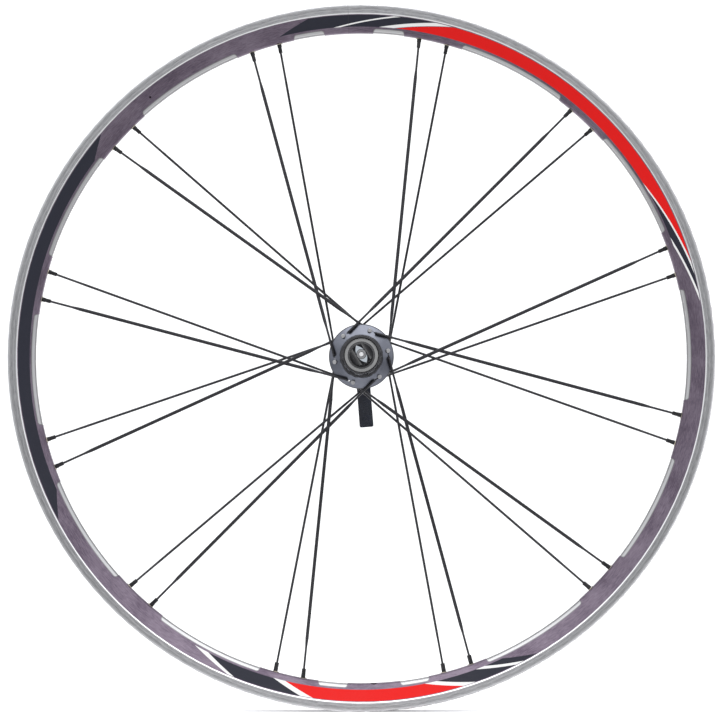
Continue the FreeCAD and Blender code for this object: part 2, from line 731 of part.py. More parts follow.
def freehub_bearing_seals():
    """The two rubber shields that close the outer faces of the freehub's bearings."""
    pitch_r = (AXLE_R + FREEHUB_BEARING_OUTER_R) / 2
    half_gap = FREEHUB_BALL_R * RACE_SHOULDER_SHARE
    low_r = pitch_r - half_gap + SEAL_GAP
    high_r = pitch_r + half_gap
    outer_y = FREEHUB_OUTER_BEARING_Y + SEAL_RECESS
    inner_y = FREEHUB_INNER_BEARING_Y + FREEHUB_BEARING_WIDTH - SEAL_RECESS - SEAL_THICKNESS
    return Part.makeCompound([ring(low_r, high_r, y, y + SEAL_THICKNESS) for y in (outer_y, inner_y)])


# ---- hub shell -----------------------------------------------------------------------------

def flange_holes(side):
    """The spoke holes of one flange, each pair joined by a narrow slot."""
    flange_y = DRIVE_FLANGE_Y if side < 0 else LEFT_FLANGE_Y
    circle_r = DRIVE_HOLE_CIRCLE_R if side < 0 else LEFT_HOLE_CIRCLE_R
    pair = HOLE_PAIR_ANGLE_DRIVE if side < 0 else HOLE_PAIR_ANGLE_LEFT
    hole_r = SPOKE_BUTT_R + SPOKE_HOLE_GAP
    reach = Vector(0, FLANGE_THICKNESS, 0)
    cutters = []
    for i in range(FLANGE_PAIRS):
        ends = []
        for turn in (-1, 1):
            hole = polar(circle_r, flange_y, pair + i * FLANGE_PITCH + turn * HOLE_HALF_ANGLE)
            ends.append(hole)
            cutters.append(rod_between(hole - reach, hole + reach, hole_r))
        along = ends[1] - ends[0]
        across = along.cross(AXIS).normalize() * (KEYHOLE_WIDTH / 2)
        corners = [ends[0] - across, ends[1] - across, ends[1] + across, ends[0] + across]
        cutters.append(prism([c - reach for c in corners], reach * 2))
    return cutters


def hub_shell():
    half = FLANGE_THICKNESS / 2
    thread_r = RING_NUT_R + RING_NUT_THREAD_GAP
    seat_y = HUB_BEARING_DRIVE_Y
    outside = [
        (HUB_DRIVE_BOSS_R, HUB_DRIVE_END, HUB_END_ROUND),
        (HUB_DRIVE_BOSS_R, DRIVE_FLANGE_Y - half, FLANGE_ROOT_R),
        (DRIVE_FLANGE_R, DRIVE_FLANGE_Y - half, FLANGE_EDGE_R),
        (DRIVE_FLANGE_R, DRIVE_FLANGE_Y + half, FLANGE_EDGE_R),
        (HUB_DRIVE_BOSS_R, DRIVE_FLANGE_Y + half, FLANGE_ROOT_R),
        (HUB_DRIVE_INNER_R, HUB_BEARING_DRIVE_Y + HUB_BEARING_WIDTH, 2 * FLANGE_ROOT_R),
        (HUB_WAIST_R, HUB_WAIST_START, 2 * FLANGE_ROOT_R),
        (HUB_WAIST_R, HUB_WAIST_END, 2 * FLANGE_ROOT_R),
        (HUB_LEFT_BOSS_R, LEFT_FLANGE_Y - half, FLANGE_ROOT_R),
        (LEFT_FLANGE_R, LEFT_FLANGE_Y - half, FLANGE_EDGE_R),
        (LEFT_FLANGE_R, LEFT_FLANGE_Y + half, FLANGE_EDGE_R),
        (HUB_LEFT_BOSS_R, LEFT_FLANGE_Y + half, FLANGE_ROOT_R),
        (HUB_LEFT_BOSS_R, HUB_LEFT_END, HUB_END_ROUND),
    ]
    inside = [
        (HUB_BEARING_OUTER_R, HUB_LEFT_END, 0),
        (HUB_BEARING_OUTER_R, HUB_BEARING_LEFT_Y, 0),
        (HUB_BORE_R, HUB_BEARING_LEFT_Y, 0),
        (HUB_BORE_R, seat_y + HUB_BEARING_WIDTH, 0),
        (HUB_BEARING_OUTER_R, seat_y + HUB_BEARING_WIDTH, 0),
        (HUB_BEARING_OUTER_R, seat_y - RING_NUT_SEAT_GAP, 0),
        (thread_r, seat_y - RING_NUT_SEAT_GAP, 0),
        (thread_r, HUB_DRIVE_END, 0),
    ]
    return turned_profile(outside + inside).cut(flange_holes(-1) + flange_holes(1))


# ---- freehub and ratchet -------------------------------------------------------------------

def ratchet_teeth(y_base, y_tip, leads, phase):
    """Sawtooth wedges round the ratchet's face: leads says which end of a tooth is its crest."""
    pitch = 360.0 / RATCHET_TEETH
    teeth = []
    for i in range(RATCHET_TEETH):
        start = phase + i * pitch
        crest = start if leads else start + pitch
        ends = []
        for radius in (RATCHET_BORE_R, RATCHET_SPLINE_ROOT_R):
            corners = [
                polar(radius, y_base, start),
                polar(radius, y_base, start + pitch),
                polar(radius, y_tip, crest),
            ]
            ends.append(Part.makePolygon(corners + corners[:1]))
        teeth.append(Part.makeLoft(ends, True, True))
    return teeth


def ratchet(y_back, y_base, y_tip, leads, phase):
    low, high = sorted((y_back, y_base))
    body = spline_prism(RATCHET_TEETH, RATCHET_SPLINE_ROOT_R, RATCHET_SPLINE_TIP_R, low, high)
    body = body.cut(ring(0, RATCHET_BORE_R, low - RATCHET_TOOTH, high + RATCHET_TOOTH))
    return body.fuse(ratchet_teeth(y_base, y_tip, leads, phase))


# Both rings are drawn slid back, teeth just clear of each other, as when the bicycle coasts.

def hub_ratchet():
    base = RATCHET_HUB_BACK_Y - RATCHET_BODY
    return ratchet(RATCHET_HUB_BACK_Y, base, base - RATCHET_TOOTH, False, 0.0)


def freehub_ratchet():
    base = RATCHET_FREEHUB_BACK_Y + RATCHET_BODY
    return ratchet(RATCHET_FREEHUB_BACK_Y, base, base + RATCHET_TOOTH, True, RATCHET_SIDE_GAP_ANGLE)


def spline_socket(y_low, y_high):
    """The splined hole that a ratchet ring slides in."""
    root = RATCHET_SPLINE_ROOT_R + RATCHET_SPLINE_GAP
    tip = RATCHET_SPLINE_TIP_R + RATCHET_SPLINE_GAP
    return spline_prism(RATCHET_TEETH, root, tip, y_low, y_high)


def ratchet_ring_nut():
    inner_y = HUB_BEARING_DRIVE_Y - RING_NUT_SEAT_GAP
    body = turned_profile([
        (0, RING_NUT_OUTER_Y, 0),
        (RING_NUT_R, RING_NUT_OUTER_Y, 0),
        (RING_NUT_R, inner_y, 0),
        (0, inner_y, 0),
    ])
    return body.cut(spline_socket(RING_NUT_OUTER_Y - RATCHET_BODY, inner_y + RATCHET_BODY))


def ratchet_spring(y_star, y_race):
    toward = 1 if y_race > y_star else -1
    lift = RATCHET_WIRE_R + SPRING_END_GAP
    return coil(
        y_star + toward * lift, y_race - toward * lift,
        RATCHET_SPRING_SMALL_R, RATCHET_SPRING_LARGE_R, RATCHET_SPRING_TURNS, RATCHET_WIRE_R,
    )


def freehub_grooves():
    """Nine grooves between the cassette's splines; one is narrower, so a cog fits one way."""
    root_r = FREEHUB_SPLINE_R - FREEHUB_SPLINE_DEPTH
    low = FREEHUB_END_Y - FREEHUB_STEP
    high = FREEHUB_SHIELD_Y - FREEHUB_SHIELD_THICKNESS
    cutters = []
    for i in range(FREEHUB_SPLINES):
        width = FREEHUB_NARROW_GROOVE_ANGLE if i == 0 else FREEHUB_GROOVE_ANGLE
        face = Part.Face(rounded_wire([
            (root_r, low, 0),
            (FREEHUB_SHIELD_R, low, 0),
            (FREEHUB_SHIELD_R, high, 0),
            (root_r, high, 0),
        ]))
        groove = face.revolve(CENTRE, Vector(0, -1, 0), width)
        centre = FREEHUB_SPLINE_PHASE + i * 360.0 / FREEHUB_SPLINES
        cutters.append(turned(groove, centre - width / 2))
    return cutters


def freehub_body():
    shield_low = FREEHUB_SHIELD_Y - FREEHUB_SHIELD_THICKNESS
    inner_seat = FREEHUB_INNER_BEARING_Y
    outer_seat = FREEHUB_OUTER_BEARING_Y + FREEHUB_BEARING_WIDTH
    spring_r = RATCHET_SPLINE_ROOT_R + RATCHET_SPLINE_GAP
    body = turned_profile([
        (LOCKRING_THREAD_R, FREEHUB_END_Y, 0),
        (FREEHUB_SPLINE_R, FREEHUB_END_Y, FREEHUB_EDGE_R),
        (FREEHUB_SPLINE_R, shield_low, 0),
        (FREEHUB_SHIELD_R, shield_low, FREEHUB_EDGE_R),
        (FREEHUB_SHIELD_R, FREEHUB_SHIELD_Y, FREEHUB_EDGE_R),
        (FREEHUB_NOSE_R, FREEHUB_SHIELD_Y, 0),
        (FREEHUB_NOSE_R, FREEHUB_NOSE_Y, 0),
        (spring_r, FREEHUB_NOSE_Y, 0),
        (spring_r, inner_seat + FREEHUB_BEARING_WIDTH, 0),
        (FREEHUB_BEARING_OUTER_R, inner_seat + FREEHUB_BEARING_WIDTH, 0),
        (FREEHUB_BEARING_OUTER_R, inner_seat, 0),
        (FREEHUB_BORE_R, inner_seat, 0),
        (FREEHUB_BORE_R, outer_seat, 0),
        (FREEHUB_BEARING_OUTER_R, outer_seat, 0),
        (FREEHUB_BEARING_OUTER_R, FREEHUB_OUTER_BEARING_Y, 0),
        (LOCKRING_THREAD_R, FREEHUB_OUTER_BEARING_Y, 0),
    ])
    socket_end = RATCHET_FREEHUB_BACK_Y - RATCHET_TOOTH - RATCHET_TIP_GAP
    socket = spline_socket(socket_end, FREEHUB_NOSE_Y + RATCHET_BODY)
    return body.cut([socket] + freehub_grooves())


def freehub_seal():
    """A rubber lip round the freehub's nose that wipes the bore of the hub shell."""
    bore_r = RING_NUT_R + RING_NUT_THREAD_GAP
    high = FREEHUB_NOSE_Y - FREEHUB_EDGE_R
    return ring(FREEHUB_NOSE_R, bore_r - SEAL_LIP_GAP, high - SEAL_LIP_WIDTH, high)


# ---- axle ----------------------------------------------------------------------------------

def axle():
    drive_end = FREEHUB_OUTER_BEARING_Y - CAP_AXLE_OVERLAP
    left_end = HUB_BEARING_LEFT_Y + HUB_BEARING_WIDTH + CAP_AXLE_OVERLAP
    shoulder_low = HUB_BEARING_DRIVE_Y + HUB_BEARING_WIDTH
    return turned_profile([
        (AXLE_BORE_R, drive_end, 0),
        (AXLE_R, drive_end, CAP_EDGE_R),
        (AXLE_R, shoulder_low, 0),
        (AXLE_SHOULDER_R, shoulder_low, 0),
        (AXLE_SHOULDER_R, HUB_BEARING_LEFT_Y, 0),
        (AXLE_R, HUB_BEARING_LEFT_Y, 0),
        (AXLE_R, left_end, CAP_EDGE_R),
        (AXLE_BORE_R, left_end, 0),
    ])


def axle_sleeve(y_low, y_high):
    return ring(AXLE_R, AXLE_R + SLEEVE_WALL, y_low, y_high)


def knurled(cap, side):
    """Cuts the radial teeth that bite the frame's dropout into the cap's clamping face."""
    face_y = side * LOCKNUT_Y
    cutters = []
    for i in range(KNURLS):
        groove = Part.makeBox(LOCKNUT_R, 2 * KNURL_DEPTH, KNURL_WIDTH)
        groove.translate(Vector(STUB_R + KNURL_WIDTH, face_y - KNURL_DEPTH, -KNURL_WIDTH / 2))
        cutters.append(turned(groove, i * 360.0 / KNURLS))
    return cap.cut(cutters)


def end_cap(side, race_y, body_r, skirt_corners):
    """A cap over the axle's end: side is -1 for drive, +1 for left."""
    axle_end = race_y + side * CAP_AXLE_OVERLAP
    collar_y = side * (LOCKNUT_Y - LOCKNUT_THICKNESS)
    cap = turned_profile([
        (SKEWER_BORE_R, side * STUB_Y, 0),
        (STUB_R, side * STUB_Y, CAP_EDGE_R),
        (STUB_R, side * LOCKNUT_Y, 0),
        (LOCKNUT_R, side * LOCKNUT_Y, CAP_EDGE_R),
        (LOCKNUT_R, collar_y, CAP_EDGE_R),
        (body_r, collar_y, 0),
    ] + skirt_corners + [
        (AXLE_R, race_y, 0),
        (AXLE_R, axle_end, 0),
        (AXLE_BORE_R, axle_end, 0),
        (AXLE_BORE_R, axle_end - side * CAP_SPIGOT_LENGTH, CAP_EDGE_R),
        (SKEWER_BORE_R, axle_end - side * CAP_SPIGOT_LENGTH, 0),
    ])
    return knurled(cap, side)


def end_cap_drive():
    race_top = (AXLE_R + FREEHUB_BEARING_OUTER_R) / 2 - FREEHUB_BALL_R * RACE_SHOULDER_SHARE
    race_y = FREEHUB_OUTER_BEARING_Y
    step_y = race_y - CAP_AXLE_OVERLAP
    return end_cap(-1, race_y, CAP_BODY_R, [
        (CAP_BODY_R, step_y, 0),
        (race_top, step_y, 0),
        (race_top, race_y, 0),
    ])


def end_cap_left():
    race_top = (AXLE_R + HUB_BEARING_OUTER_R) / 2 - HUB_BALL_R * RACE_SHOULDER_SHARE
    race_y = HUB_BEARING_LEFT_Y + HUB_BEARING_WIDTH
    lip_y = race_y + CAP_DUST_GAP
    lip_end = lip_y + CAP_DUST_LIP
    return end_cap(1, race_y, CAP_BODY_R, [
        (CAP_LEFT_SKIRT_R, lip_end, CAP_EDGE_R),
        (CAP_DUST_LIP_R, lip_end, CAP_EDGE_R),
        (CAP_DUST_LIP_R, lip_y, 0),
        (race_top, lip_y, 0),
        (race_top, race_y, 0),
    ])


# ---- quick-release skewer ------------------------------------------------------------------

def in_lever_frame(shape):
    """Leans a piece drawn with the lever hanging along -Z to where the lever really points."""
    return turned(shape, LEVER_LEAN)


def cross_rod(radius, x_low, x_high, y):
    return Part.makeCylinder(radius, x_high - x_low, Vector(x_low, y, 0), Vector(1, 0, 0))


def skewer_rod():
    nut_end = -(CLAMP_Y + NUT_LENGTH + ROD_END_PROUD)
    eye_low = PIVOT_Y - EYE_BACK
    thread_end = nut_end + ROD_THREAD_LENGTH
    rod = turned_profile([
        (0, nut_end, 0),
        (ROD_THREAD_R - ROD_END_CHAMFER, nut_end, 0),
        (ROD_THREAD_R, nut_end + ROD_END_CHAMFER, 0),
        (ROD_THREAD_R, thread_end, 0),
        (ROD_R, thread_end + ROD_END_CHAMFER, 0),
        (ROD_R, eye_low, 0),
        (EYE_R, eye_low, ROD_END_CHAMFER),
        (EYE_R, PIVOT_Y + EYE_FRONT, ROD_END_CHAMFER),
        (0, PIVOT_Y + EYE_FRONT, 0),
    ])
    half_y = CAM_R + CAM_EYE_GAP
    half_z = CAM_R + CAM_EYE_SIDE_GAP - half_y
    eye_y = PIVOT_Y + CAM_THROW
    slot = Part.makeBox(2 * EYE_R, 2 * half_y, 2 * half_z, Vector(-EYE_R, eye_y - half_y, -half_z))
    ends = []
    for z in (-half_z, half_z):
        end = cross_rod(half_y, -EYE_R, EYE_R, eye_y)
        end.translate(Vector(0, 0, z))
        ends.append(end)
    return in_lever_frame(rod.cut([slot] + ends))


def qr_nut():
    clamp = -CLAMP_Y
    front = clamp - NUT_LENGTH
    body = turned_profile([
        (0, clamp, 0),
        (NUT_R, clamp, CAP_EDGE_R),
        (NUT_R, clamp - NUT_GRIP_START, NUT_EDGE_R),
        (NUT_FRONT_R, front, NUT_EDGE_R),
        (0, front, 0),
    ])
    scoops = []
    for side in (-1, 1):
        # a round cutter that starts at the base's grip width and ends at the front's
        base = Vector(0, clamp - NUT_GRIP_START, side * NUT_GRIP_BASE_WIDTH / 2)
        top = Vector(0, front, side * NUT_GRIP_WIDTH / 2)
        along = top - base
        outward = Vector(0, -along.z, along.y).normalize()
        if outward.z * side < 0:
            outward = outward * -1
        sink = math.sqrt(NUT_GRIP_SCOOP_R ** 2 - (along.Length / 2) ** 2)
        middle = (base + top) * 0.5 + outward * sink
        start = middle - Vector(2 * NUT_R, 0, 0)
        scoops.append(Part.makeCylinder(NUT_GRIP_SCOOP_R, 4 * NUT_R, start, Vector(1, 0, 0)))
    body = turned(body.cut(scoops), NUT_GRIP_ANGLE)
    pocket = ring(0, SPRING_POCKET_R, clamp - SPRING_POCKET_DEPTH, clamp + SPRING_POCKET_DEPTH)
    bore = ring(0, INSERT_R, front - INSERT_R, clamp)
    return body.cut([pocket, bore])


def qr_nut_insert():
    clamp = -CLAMP_Y
    return turned_profile([
        (ROD_THREAD_R + INSERT_THREAD_GAP, clamp - NUT_LENGTH - INSERT_PROUD, 0),
        (INSERT_R, clamp - NUT_LENGTH - INSERT_PROUD, INSERT_PROUD),
        (INSERT_R, clamp - SPRING_POCKET_DEPTH, 0),
        (ROD_THREAD_R + INSERT_THREAD_GAP, clamp - SPRING_POCKET_DEPTH, 0),
    ])


def skewer_spring(side, seat_y):
    """A conical spring between the axle's end and the seat inside the nut or the cam housing."""
    lift = SPRING_WIRE_R + SPRING_END_GAP
    start = side * (STUB_Y + lift)
    return coil(start, seat_y - side * lift, SPRING_SMALL_R, SPRING_LARGE_R, SPRING_TURNS, SPRING_WIRE_R)


def cam_housing():
    dome = Part.makeSphere(HOUSING_R, Vector(0, PIVOT_Y, 0))
    barrel = ring(0, HOUSING_R, CLAMP_Y, PIVOT_Y)
    body = barrel.fuse(dome.cut(ring(0, 2 * HOUSING_R, CLAMP_Y - HOUSING_R, PIVOT_Y)))
    bore_end = PIVOT_Y + EYE_FRONT + CAM_EYE_GAP
    cutters = [ring(0, EYE_R + HOUSING_BORE_GAP, CLAMP_Y - HOUSING_R, bore_end)]
    for side in (-1, 1):
        block = Part.makeBox(HOUSING_R, 2 * HOUSING_R, 2 * HOUSING_R)
        x = HOUSING_FLAT_HALF if side > 0 else -HOUSING_FLAT_HALF - HOUSING_R
        block.translate(Vector(x, CLAMP_Y + HOUSING_FLANGE, -HOUSING_R))
        cutters.append(block)
    journal_end = CAM_HALF_LENGTH + CAM_BORE_GAP
    cutters.append(cross_rod(CAM_NEAR_R + CAM_BORE_GAP, -journal_end, HOUSING_R, PIVOT_Y))
    cutters.append(cross_rod(CAM_FAR_R + CAM_BORE_GAP, -HOUSING_R, 0, PIVOT_Y))
    body = body.cut(cutters)
    teeth = []
    for i in range(KNURLS):
        groove = Part.makeBox(HOUSING_R, 2 * KNURL_DEPTH, KNURL_WIDTH)
        groove.translate(Vector(EYE_R + KNURL_WIDTH, CLAMP_Y - KNURL_DEPTH, -KNURL_WIDTH / 2))
        teeth.append(turned(groove, i * 360.0 / KNURLS))
    return in_lever_frame(body.cut(teeth))


def cam_shaft():
    """The lever's cross shaft: a round bearing at each end and an eccentric journal between."""
    journal = cross_rod(CAM_R, -CAM_HALF_LENGTH, CAM_HALF_LENGTH, PIVOT_Y + CAM_THROW)
    near = cross_rod(CAM_NEAR_R, CAM_HALF_LENGTH, LEVER_EAR_HALF, PIVOT_Y)
    far = cross_rod(CAM_FAR_R, -LEVER_EAR_HALF, -CAM_HALF_LENGTH, PIVOT_Y)
    return in_lever_frame(near.fuse([journal, far]))


def arc_edge(a, b, c):
    return Part.Arc(Vector(*a), Vector(*b), Vector(*c)).toShape()


def line_edge(a, b):
    return Part.LineSegment(Vector(*a), Vector(*b)).toShape()


def lever_side_blank():
    """The lever seen along its pivot: two shallow arcs from the ears to the squared tip."""
    inner = PIVOT_Y - LEVER_HALF_THICKNESS
    outer = PIVOT_Y + LEVER_HALF_THICKNESS
    tip_inner = PIVOT_Y - LEVER_TIP_DROP - LEVER_TIP_THICKNESS / 2
    tip_outer = tip_inner + LEVER_TIP_THICKNESS
    x = -LEVER_EAR_HALF
    middle_z = -(LEVER_TIP + LEVER_ROOT_R) / 2
    top = (x, inner, -LEVER_ROOT_R)
    top_out = (x, outer, -LEVER_ROOT_R)
    low = (x, tip_inner, -LEVER_TIP)
    low_out = (x, tip_outer, -LEVER_TIP)
    edges = [
        line_edge((x, inner, 0), top),
        arc_edge(top, (x, (inner + tip_inner) / 2 + LEVER_BOW / 2, middle_z), low),
        line_edge(low, low_out),
        arc_edge(low_out, (x, (outer + tip_outer) / 2 + LEVER_BOW / 2, middle_z), top_out),
        line_edge(top_out, (x, outer, 0)),
        line_edge((x, outer, 0), (x, inner, 0)),
    ]
    blank = Part.Face(Part.Wire(edges)).extrude(Vector(2 * LEVER_EAR_HALF, 0, 0))
    return blank.fuse(cross_rod(LEVER_EAR_R, -LEVER_EAR_HALF, LEVER_EAR_HALF, PIVOT_Y))


def lever_front_blank():
    """The lever seen along the axle: wide ears that draw in to a parallel grip."""
    ear = LEVER_EAR_HALF
    waist = LEVER_WAIST_WIDTH / 2
    tip = LEVER_TIP_WIDTH / 2
    corners = [
        (-ear, 2 * LEVER_EAR_R, 0),
        (-ear, -LEVER_ROOT_R, LEVER_ROOT_R / 2),
        (-waist, -LEVER_WAIST_Z, LEVER_ROOT_R),
        (-tip, -LEVER_TIP, LEVER_CORNER_R),
        (tip, -LEVER_TIP, LEVER_CORNER_R),
        (waist, -LEVER_WAIST_Z, LEVER_ROOT_R),
        (ear, -LEVER_ROOT_R, LEVER_ROOT_R / 2),
        (ear, 2 * LEVER_EAR_R, 0),
    ]
    wire = rounded_wire(corners)
    wire.rotate(CENTRE, Vector(1, 0, 0), 90)
    face = Part.Face(wire)
    face.translate(Vector(0, PIVOT_Y - HOUSING_PIVOT, 0))
    return face.extrude(Vector(0, 2 * HOUSING_PIVOT, 0))


def lever():
    blank = lever_side_blank().common(lever_front_blank())
    slot_half = HOUSING_FLAT_HALF + LEVER_EAR_GAP
    slot = cross_rod(LEVER_ROOT_R, -slot_half, slot_half, PIVOT_Y)
    near = cross_rod(CAM_NEAR_R, 0, 2 * LEVER_EAR_HALF, PIVOT_Y)
    far = cross_rod(CAM_FAR_R, -2 * LEVER_EAR_HALF, 0, PIVOT_Y)
    # a long thumb scoop along the inner face, which fades in below the waist
    scoop_y = PIVOT_Y - LEVER_HALF_THICKNESS - LEVER_SCOOP_R + LEVER_SCOOP_DEPTH
    start = Vector(0, scoop_y, -LEVER_SCOOP_START)
    end = Vector(0, scoop_y + LEVER_BOW / 2, -LEVER_TIP - LEVER_SCOOP_R)
    scoop = rod_between(start, end, LEVER_SCOOP_R)
    return in_lever_frame(blank.cut([slot, near, far, scoop]))


# ---- the set of nodes ----------------------------------------------------------------------

def all_spokes():
    spokes = {}
    for side, side_name in ((-1, "drive"), (1, "left")):
        for runs_inside, run_name in ((True, "in"), (False, "out")):
            for i in range(FLANGE_PAIRS):
                name = "spoke_%s_%s_%d" % (side_name, run_name, i + 1)
                spokes[name] = spoke_layout(side, i, runs_inside)
    return spokes


def build():
    layouts = all_spokes()
    spokes = list(layouts.values())
    hub_lows = (HUB_BEARING_DRIVE_Y, HUB_BEARING_LEFT_Y)
    freehub_lows = (FREEHUB_INNER_BEARING_Y, FREEHUB_OUTER_BEARING_Y)
    nodes = {name: spoke(layout) for name, layout in layouts.items()}
    nodes["rim"] = rim(spokes)
    nodes["rim_tape"] = rim_tape()
    nodes["rim_eyelets"] = placed_at_seats(eyelet(), spokes)
    nodes["spoke_nipples"] = placed_at_seats(nipple(), spokes)
    nodes["hub_shell"] = hub_shell()
    nodes["hub_bearing_drive_outer_race"] = hub_bearing(outer_race, hub_lows[0])
    nodes["hub_bearing_left_outer_race"] = hub_bearing(outer_race, hub_lows[1])
    nodes["hub_bearing_drive_inner_race"] = hub_bearing(inner_race, hub_lows[0])
    nodes["hub_bearing_left_inner_race"] = hub_bearing(inner_race, hub_lows[1])
    nodes["hub_bearing_balls"] = bearing_balls(hub_bearing, hub_lows, HUB_BALL_COUNT)
    nodes["freehub_inner_bearing_outer_race"] = freehub_bearing(outer_race, freehub_lows[0])
    nodes["freehub_outer_bearing_outer_race"] = freehub_bearing(outer_race, freehub_lows[1])
    nodes["freehub_inner_bearing_inner_race"] = freehub_bearing(inner_race, freehub_lows[0])
    nodes["freehub_outer_bearing_inner_race"] = freehub_bearing(inner_race, freehub_lows[1])
    nodes["freehub_bearing_balls"] = bearing_balls(freehub_bearing, freehub_lows, FREEHUB_BALL_COUNT)
    nodes["freehub_bearing_seals"] = freehub_bearing_seals()
    nodes["ratchet_ring_nut"] = ratchet_ring_nut()
    nodes["hub_ratchet"] = hub_ratchet()
    nodes["freehub_ratchet"] = freehub_ratchet()
    nodes["hub_ratchet_spring"] = ratchet_spring(RATCHET_HUB_BACK_Y, HUB_BEARING_DRIVE_Y)
    freehub_race_y = FREEHUB_INNER_BEARING_Y + FREEHUB_BEARING_WIDTH
    nodes["freehub_ratchet_spring"] = ratchet_spring(RATCHET_FREEHUB_BACK_Y, freehub_race_y)
    nodes["freehub_body"] = freehub_body()
    nodes["freehub_seal"] = freehub_seal()
    nodes["axle"] = axle()
    nodes["axle_sleeve"] = axle_sleeve(freehub_race_y, HUB_BEARING_DRIVE_Y)
    nodes["freehub_bearing_spacer"] = axle_sleeve(
        FREEHUB_OUTER_BEARING_Y + FREEHUB_BEARING_WIDTH, FREEHUB_INNER_BEARING_Y
    )
    nodes["end_cap_drive"] = end_cap_drive()
    nodes["end_cap_left"] = end_cap_left()
    nodes["skewer_rod"] = skewer_rod()
    nodes["qr_nut"] = qr_nut()
    nodes["qr_nut_insert"] = qr_nut_insert()
    nodes["cam_housing"] = cam_housing()
    nodes["cam_shaft"] = cam_shaft()
    nodes["qr_lever"] = lever()
    nodes["skewer_spring_drive"] = skewer_spring(-1, -(CLAMP_Y + SPRING_POCKET_DEPTH))
    nodes["skewer_spring_left"] = skewer_spring(1, PIVOT_Y - EYE_BACK)
    return nodes


os.makedirs("parts", exist_ok=True)
for node, shape in build().items():
    shape.exportStep("parts/%s.step" % node)
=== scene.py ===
import math

import bpy
from bpy.props import FloatProperty, FloatVectorProperty, IntProperty, PointerProperty
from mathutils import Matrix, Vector


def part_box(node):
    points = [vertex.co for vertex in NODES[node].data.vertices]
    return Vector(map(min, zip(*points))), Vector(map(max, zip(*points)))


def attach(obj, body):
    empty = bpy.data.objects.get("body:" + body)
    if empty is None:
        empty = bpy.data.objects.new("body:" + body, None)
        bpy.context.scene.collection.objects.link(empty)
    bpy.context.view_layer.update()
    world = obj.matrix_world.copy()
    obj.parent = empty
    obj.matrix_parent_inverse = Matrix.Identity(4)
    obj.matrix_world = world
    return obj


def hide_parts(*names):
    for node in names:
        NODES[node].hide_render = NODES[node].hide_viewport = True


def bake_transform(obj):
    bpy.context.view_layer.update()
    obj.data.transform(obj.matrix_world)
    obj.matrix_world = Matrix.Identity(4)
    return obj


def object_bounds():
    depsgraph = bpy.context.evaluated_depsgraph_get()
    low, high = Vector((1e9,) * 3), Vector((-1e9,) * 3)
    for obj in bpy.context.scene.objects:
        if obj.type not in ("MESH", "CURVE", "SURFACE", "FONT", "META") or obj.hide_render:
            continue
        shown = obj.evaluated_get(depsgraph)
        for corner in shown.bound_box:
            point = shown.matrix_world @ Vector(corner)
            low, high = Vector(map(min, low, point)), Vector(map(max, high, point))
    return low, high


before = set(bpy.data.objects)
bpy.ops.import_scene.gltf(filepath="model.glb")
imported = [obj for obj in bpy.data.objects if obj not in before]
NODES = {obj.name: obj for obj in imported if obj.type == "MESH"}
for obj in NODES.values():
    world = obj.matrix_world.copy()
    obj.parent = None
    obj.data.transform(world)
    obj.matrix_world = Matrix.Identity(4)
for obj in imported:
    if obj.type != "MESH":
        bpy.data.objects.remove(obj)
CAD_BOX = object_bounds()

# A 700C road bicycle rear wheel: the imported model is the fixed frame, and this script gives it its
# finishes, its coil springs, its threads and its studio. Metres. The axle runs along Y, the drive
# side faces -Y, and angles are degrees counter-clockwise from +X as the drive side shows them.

bl_info = {
    "name": "Road rear wheel",
    "version": (1, 0, 0),
    "blender": (4, 5, 0),
    "location": "3D View > Sidebar > Rear wheel",
    "description": "Finishes, springs, threads and a studio for a spoked rear wheel",
    "category": "Object",
}

MM = 0.001
SOFT = 0.1 * MM


# ---- sizes and colours that a user would change ----------------------------------------------

def length(name, description, default_mm):
    return FloatProperty(
        name=name, description=description, default=default_mm * MM,
        subtype="DISTANCE", unit="LENGTH",
    )


def rotation(name, description, default_degrees):
    return FloatProperty(
        name=name, description=description, default=math.radians(default_degrees),
        subtype="ANGLE", unit="ROTATION",
    )


def colour(name, description, default):
    return FloatVectorProperty(
        name=name, description=description, default=default, subtype="COLOR", min=0, max=1
    )


class RimSettings(bpy.types.PropertyGroup):
    track_inner: length("Track edge", "Radius of the brake track's inner edge", 309.4)
    chamfer_inner: length("Chamfer edge", "Radius where the bright chamfer begins", 308.2)
    decal_outer: length("Decal top", "Radius of the decals' outer edge", 307.7)
    decal_inner: length("Decal foot", "Radius of the decals' inner edge", 297.7)
    slant_head: length("Slant top", "Radius at which a decal's outer angles hold", 306.9)
    slant_foot: length("Slant foot", "Radius at which a decal's inner angles hold", 298.7)
    relief_outer: length("Relief edge", "Radius of the machined reliefs' outer edge", 296.3)
    bed: length("Spoke bed", "Radius of the spoke bed", 292.4)
    bed_width: length("Bed width", "Width of the spoke bed", 8.0)
    bed_offset: length("Bed offset", "How far the spoke bed lies towards the left side", 2.5)
    chamfer_foot: length("Chamfer foot", "Radius at which the sidewalls begin", 308.5)
    chamfer_half_width: length("Sidewall spread", "Half the rim's width at the chamfer's foot", 9.3)
    pair_angle: rotation("First pair", "Angle at which the first spoke pair stands", 17.2)
    relief_gap: rotation("Relief gap", "Angle left plain on either side of a pair", 5.25)
    relief_corner: length("Relief corner", "Radius of the reliefs' corners", 2.8)
    anodised: colour("Anodising", "Faded violet grey of the sidewall", (0.225, 0.186, 0.235))
    anodised_deep: colour("Deep anodising", "The same, least faded", (0.105, 0.082, 0.113))
    track: colour("Brake track", "Bare machined aluminium", (0.36, 0.36, 0.37))
    chamfer: colour("Chamfer", "Bright cut edge beside the brake track", (0.85, 0.85, 0.86))
    machined: colour("Reliefs", "Milled aluminium of the reliefs", (0.52, 0.52, 0.53))
    red: colour("Red", "Red of the decals", (0.70, 0.008, 0.007))
    black: colour("Black", "Black of the decals", (0.022, 0.023, 0.034))
    white: colour("White", "White of the decals' stripes", (0.80, 0.80, 0.79))


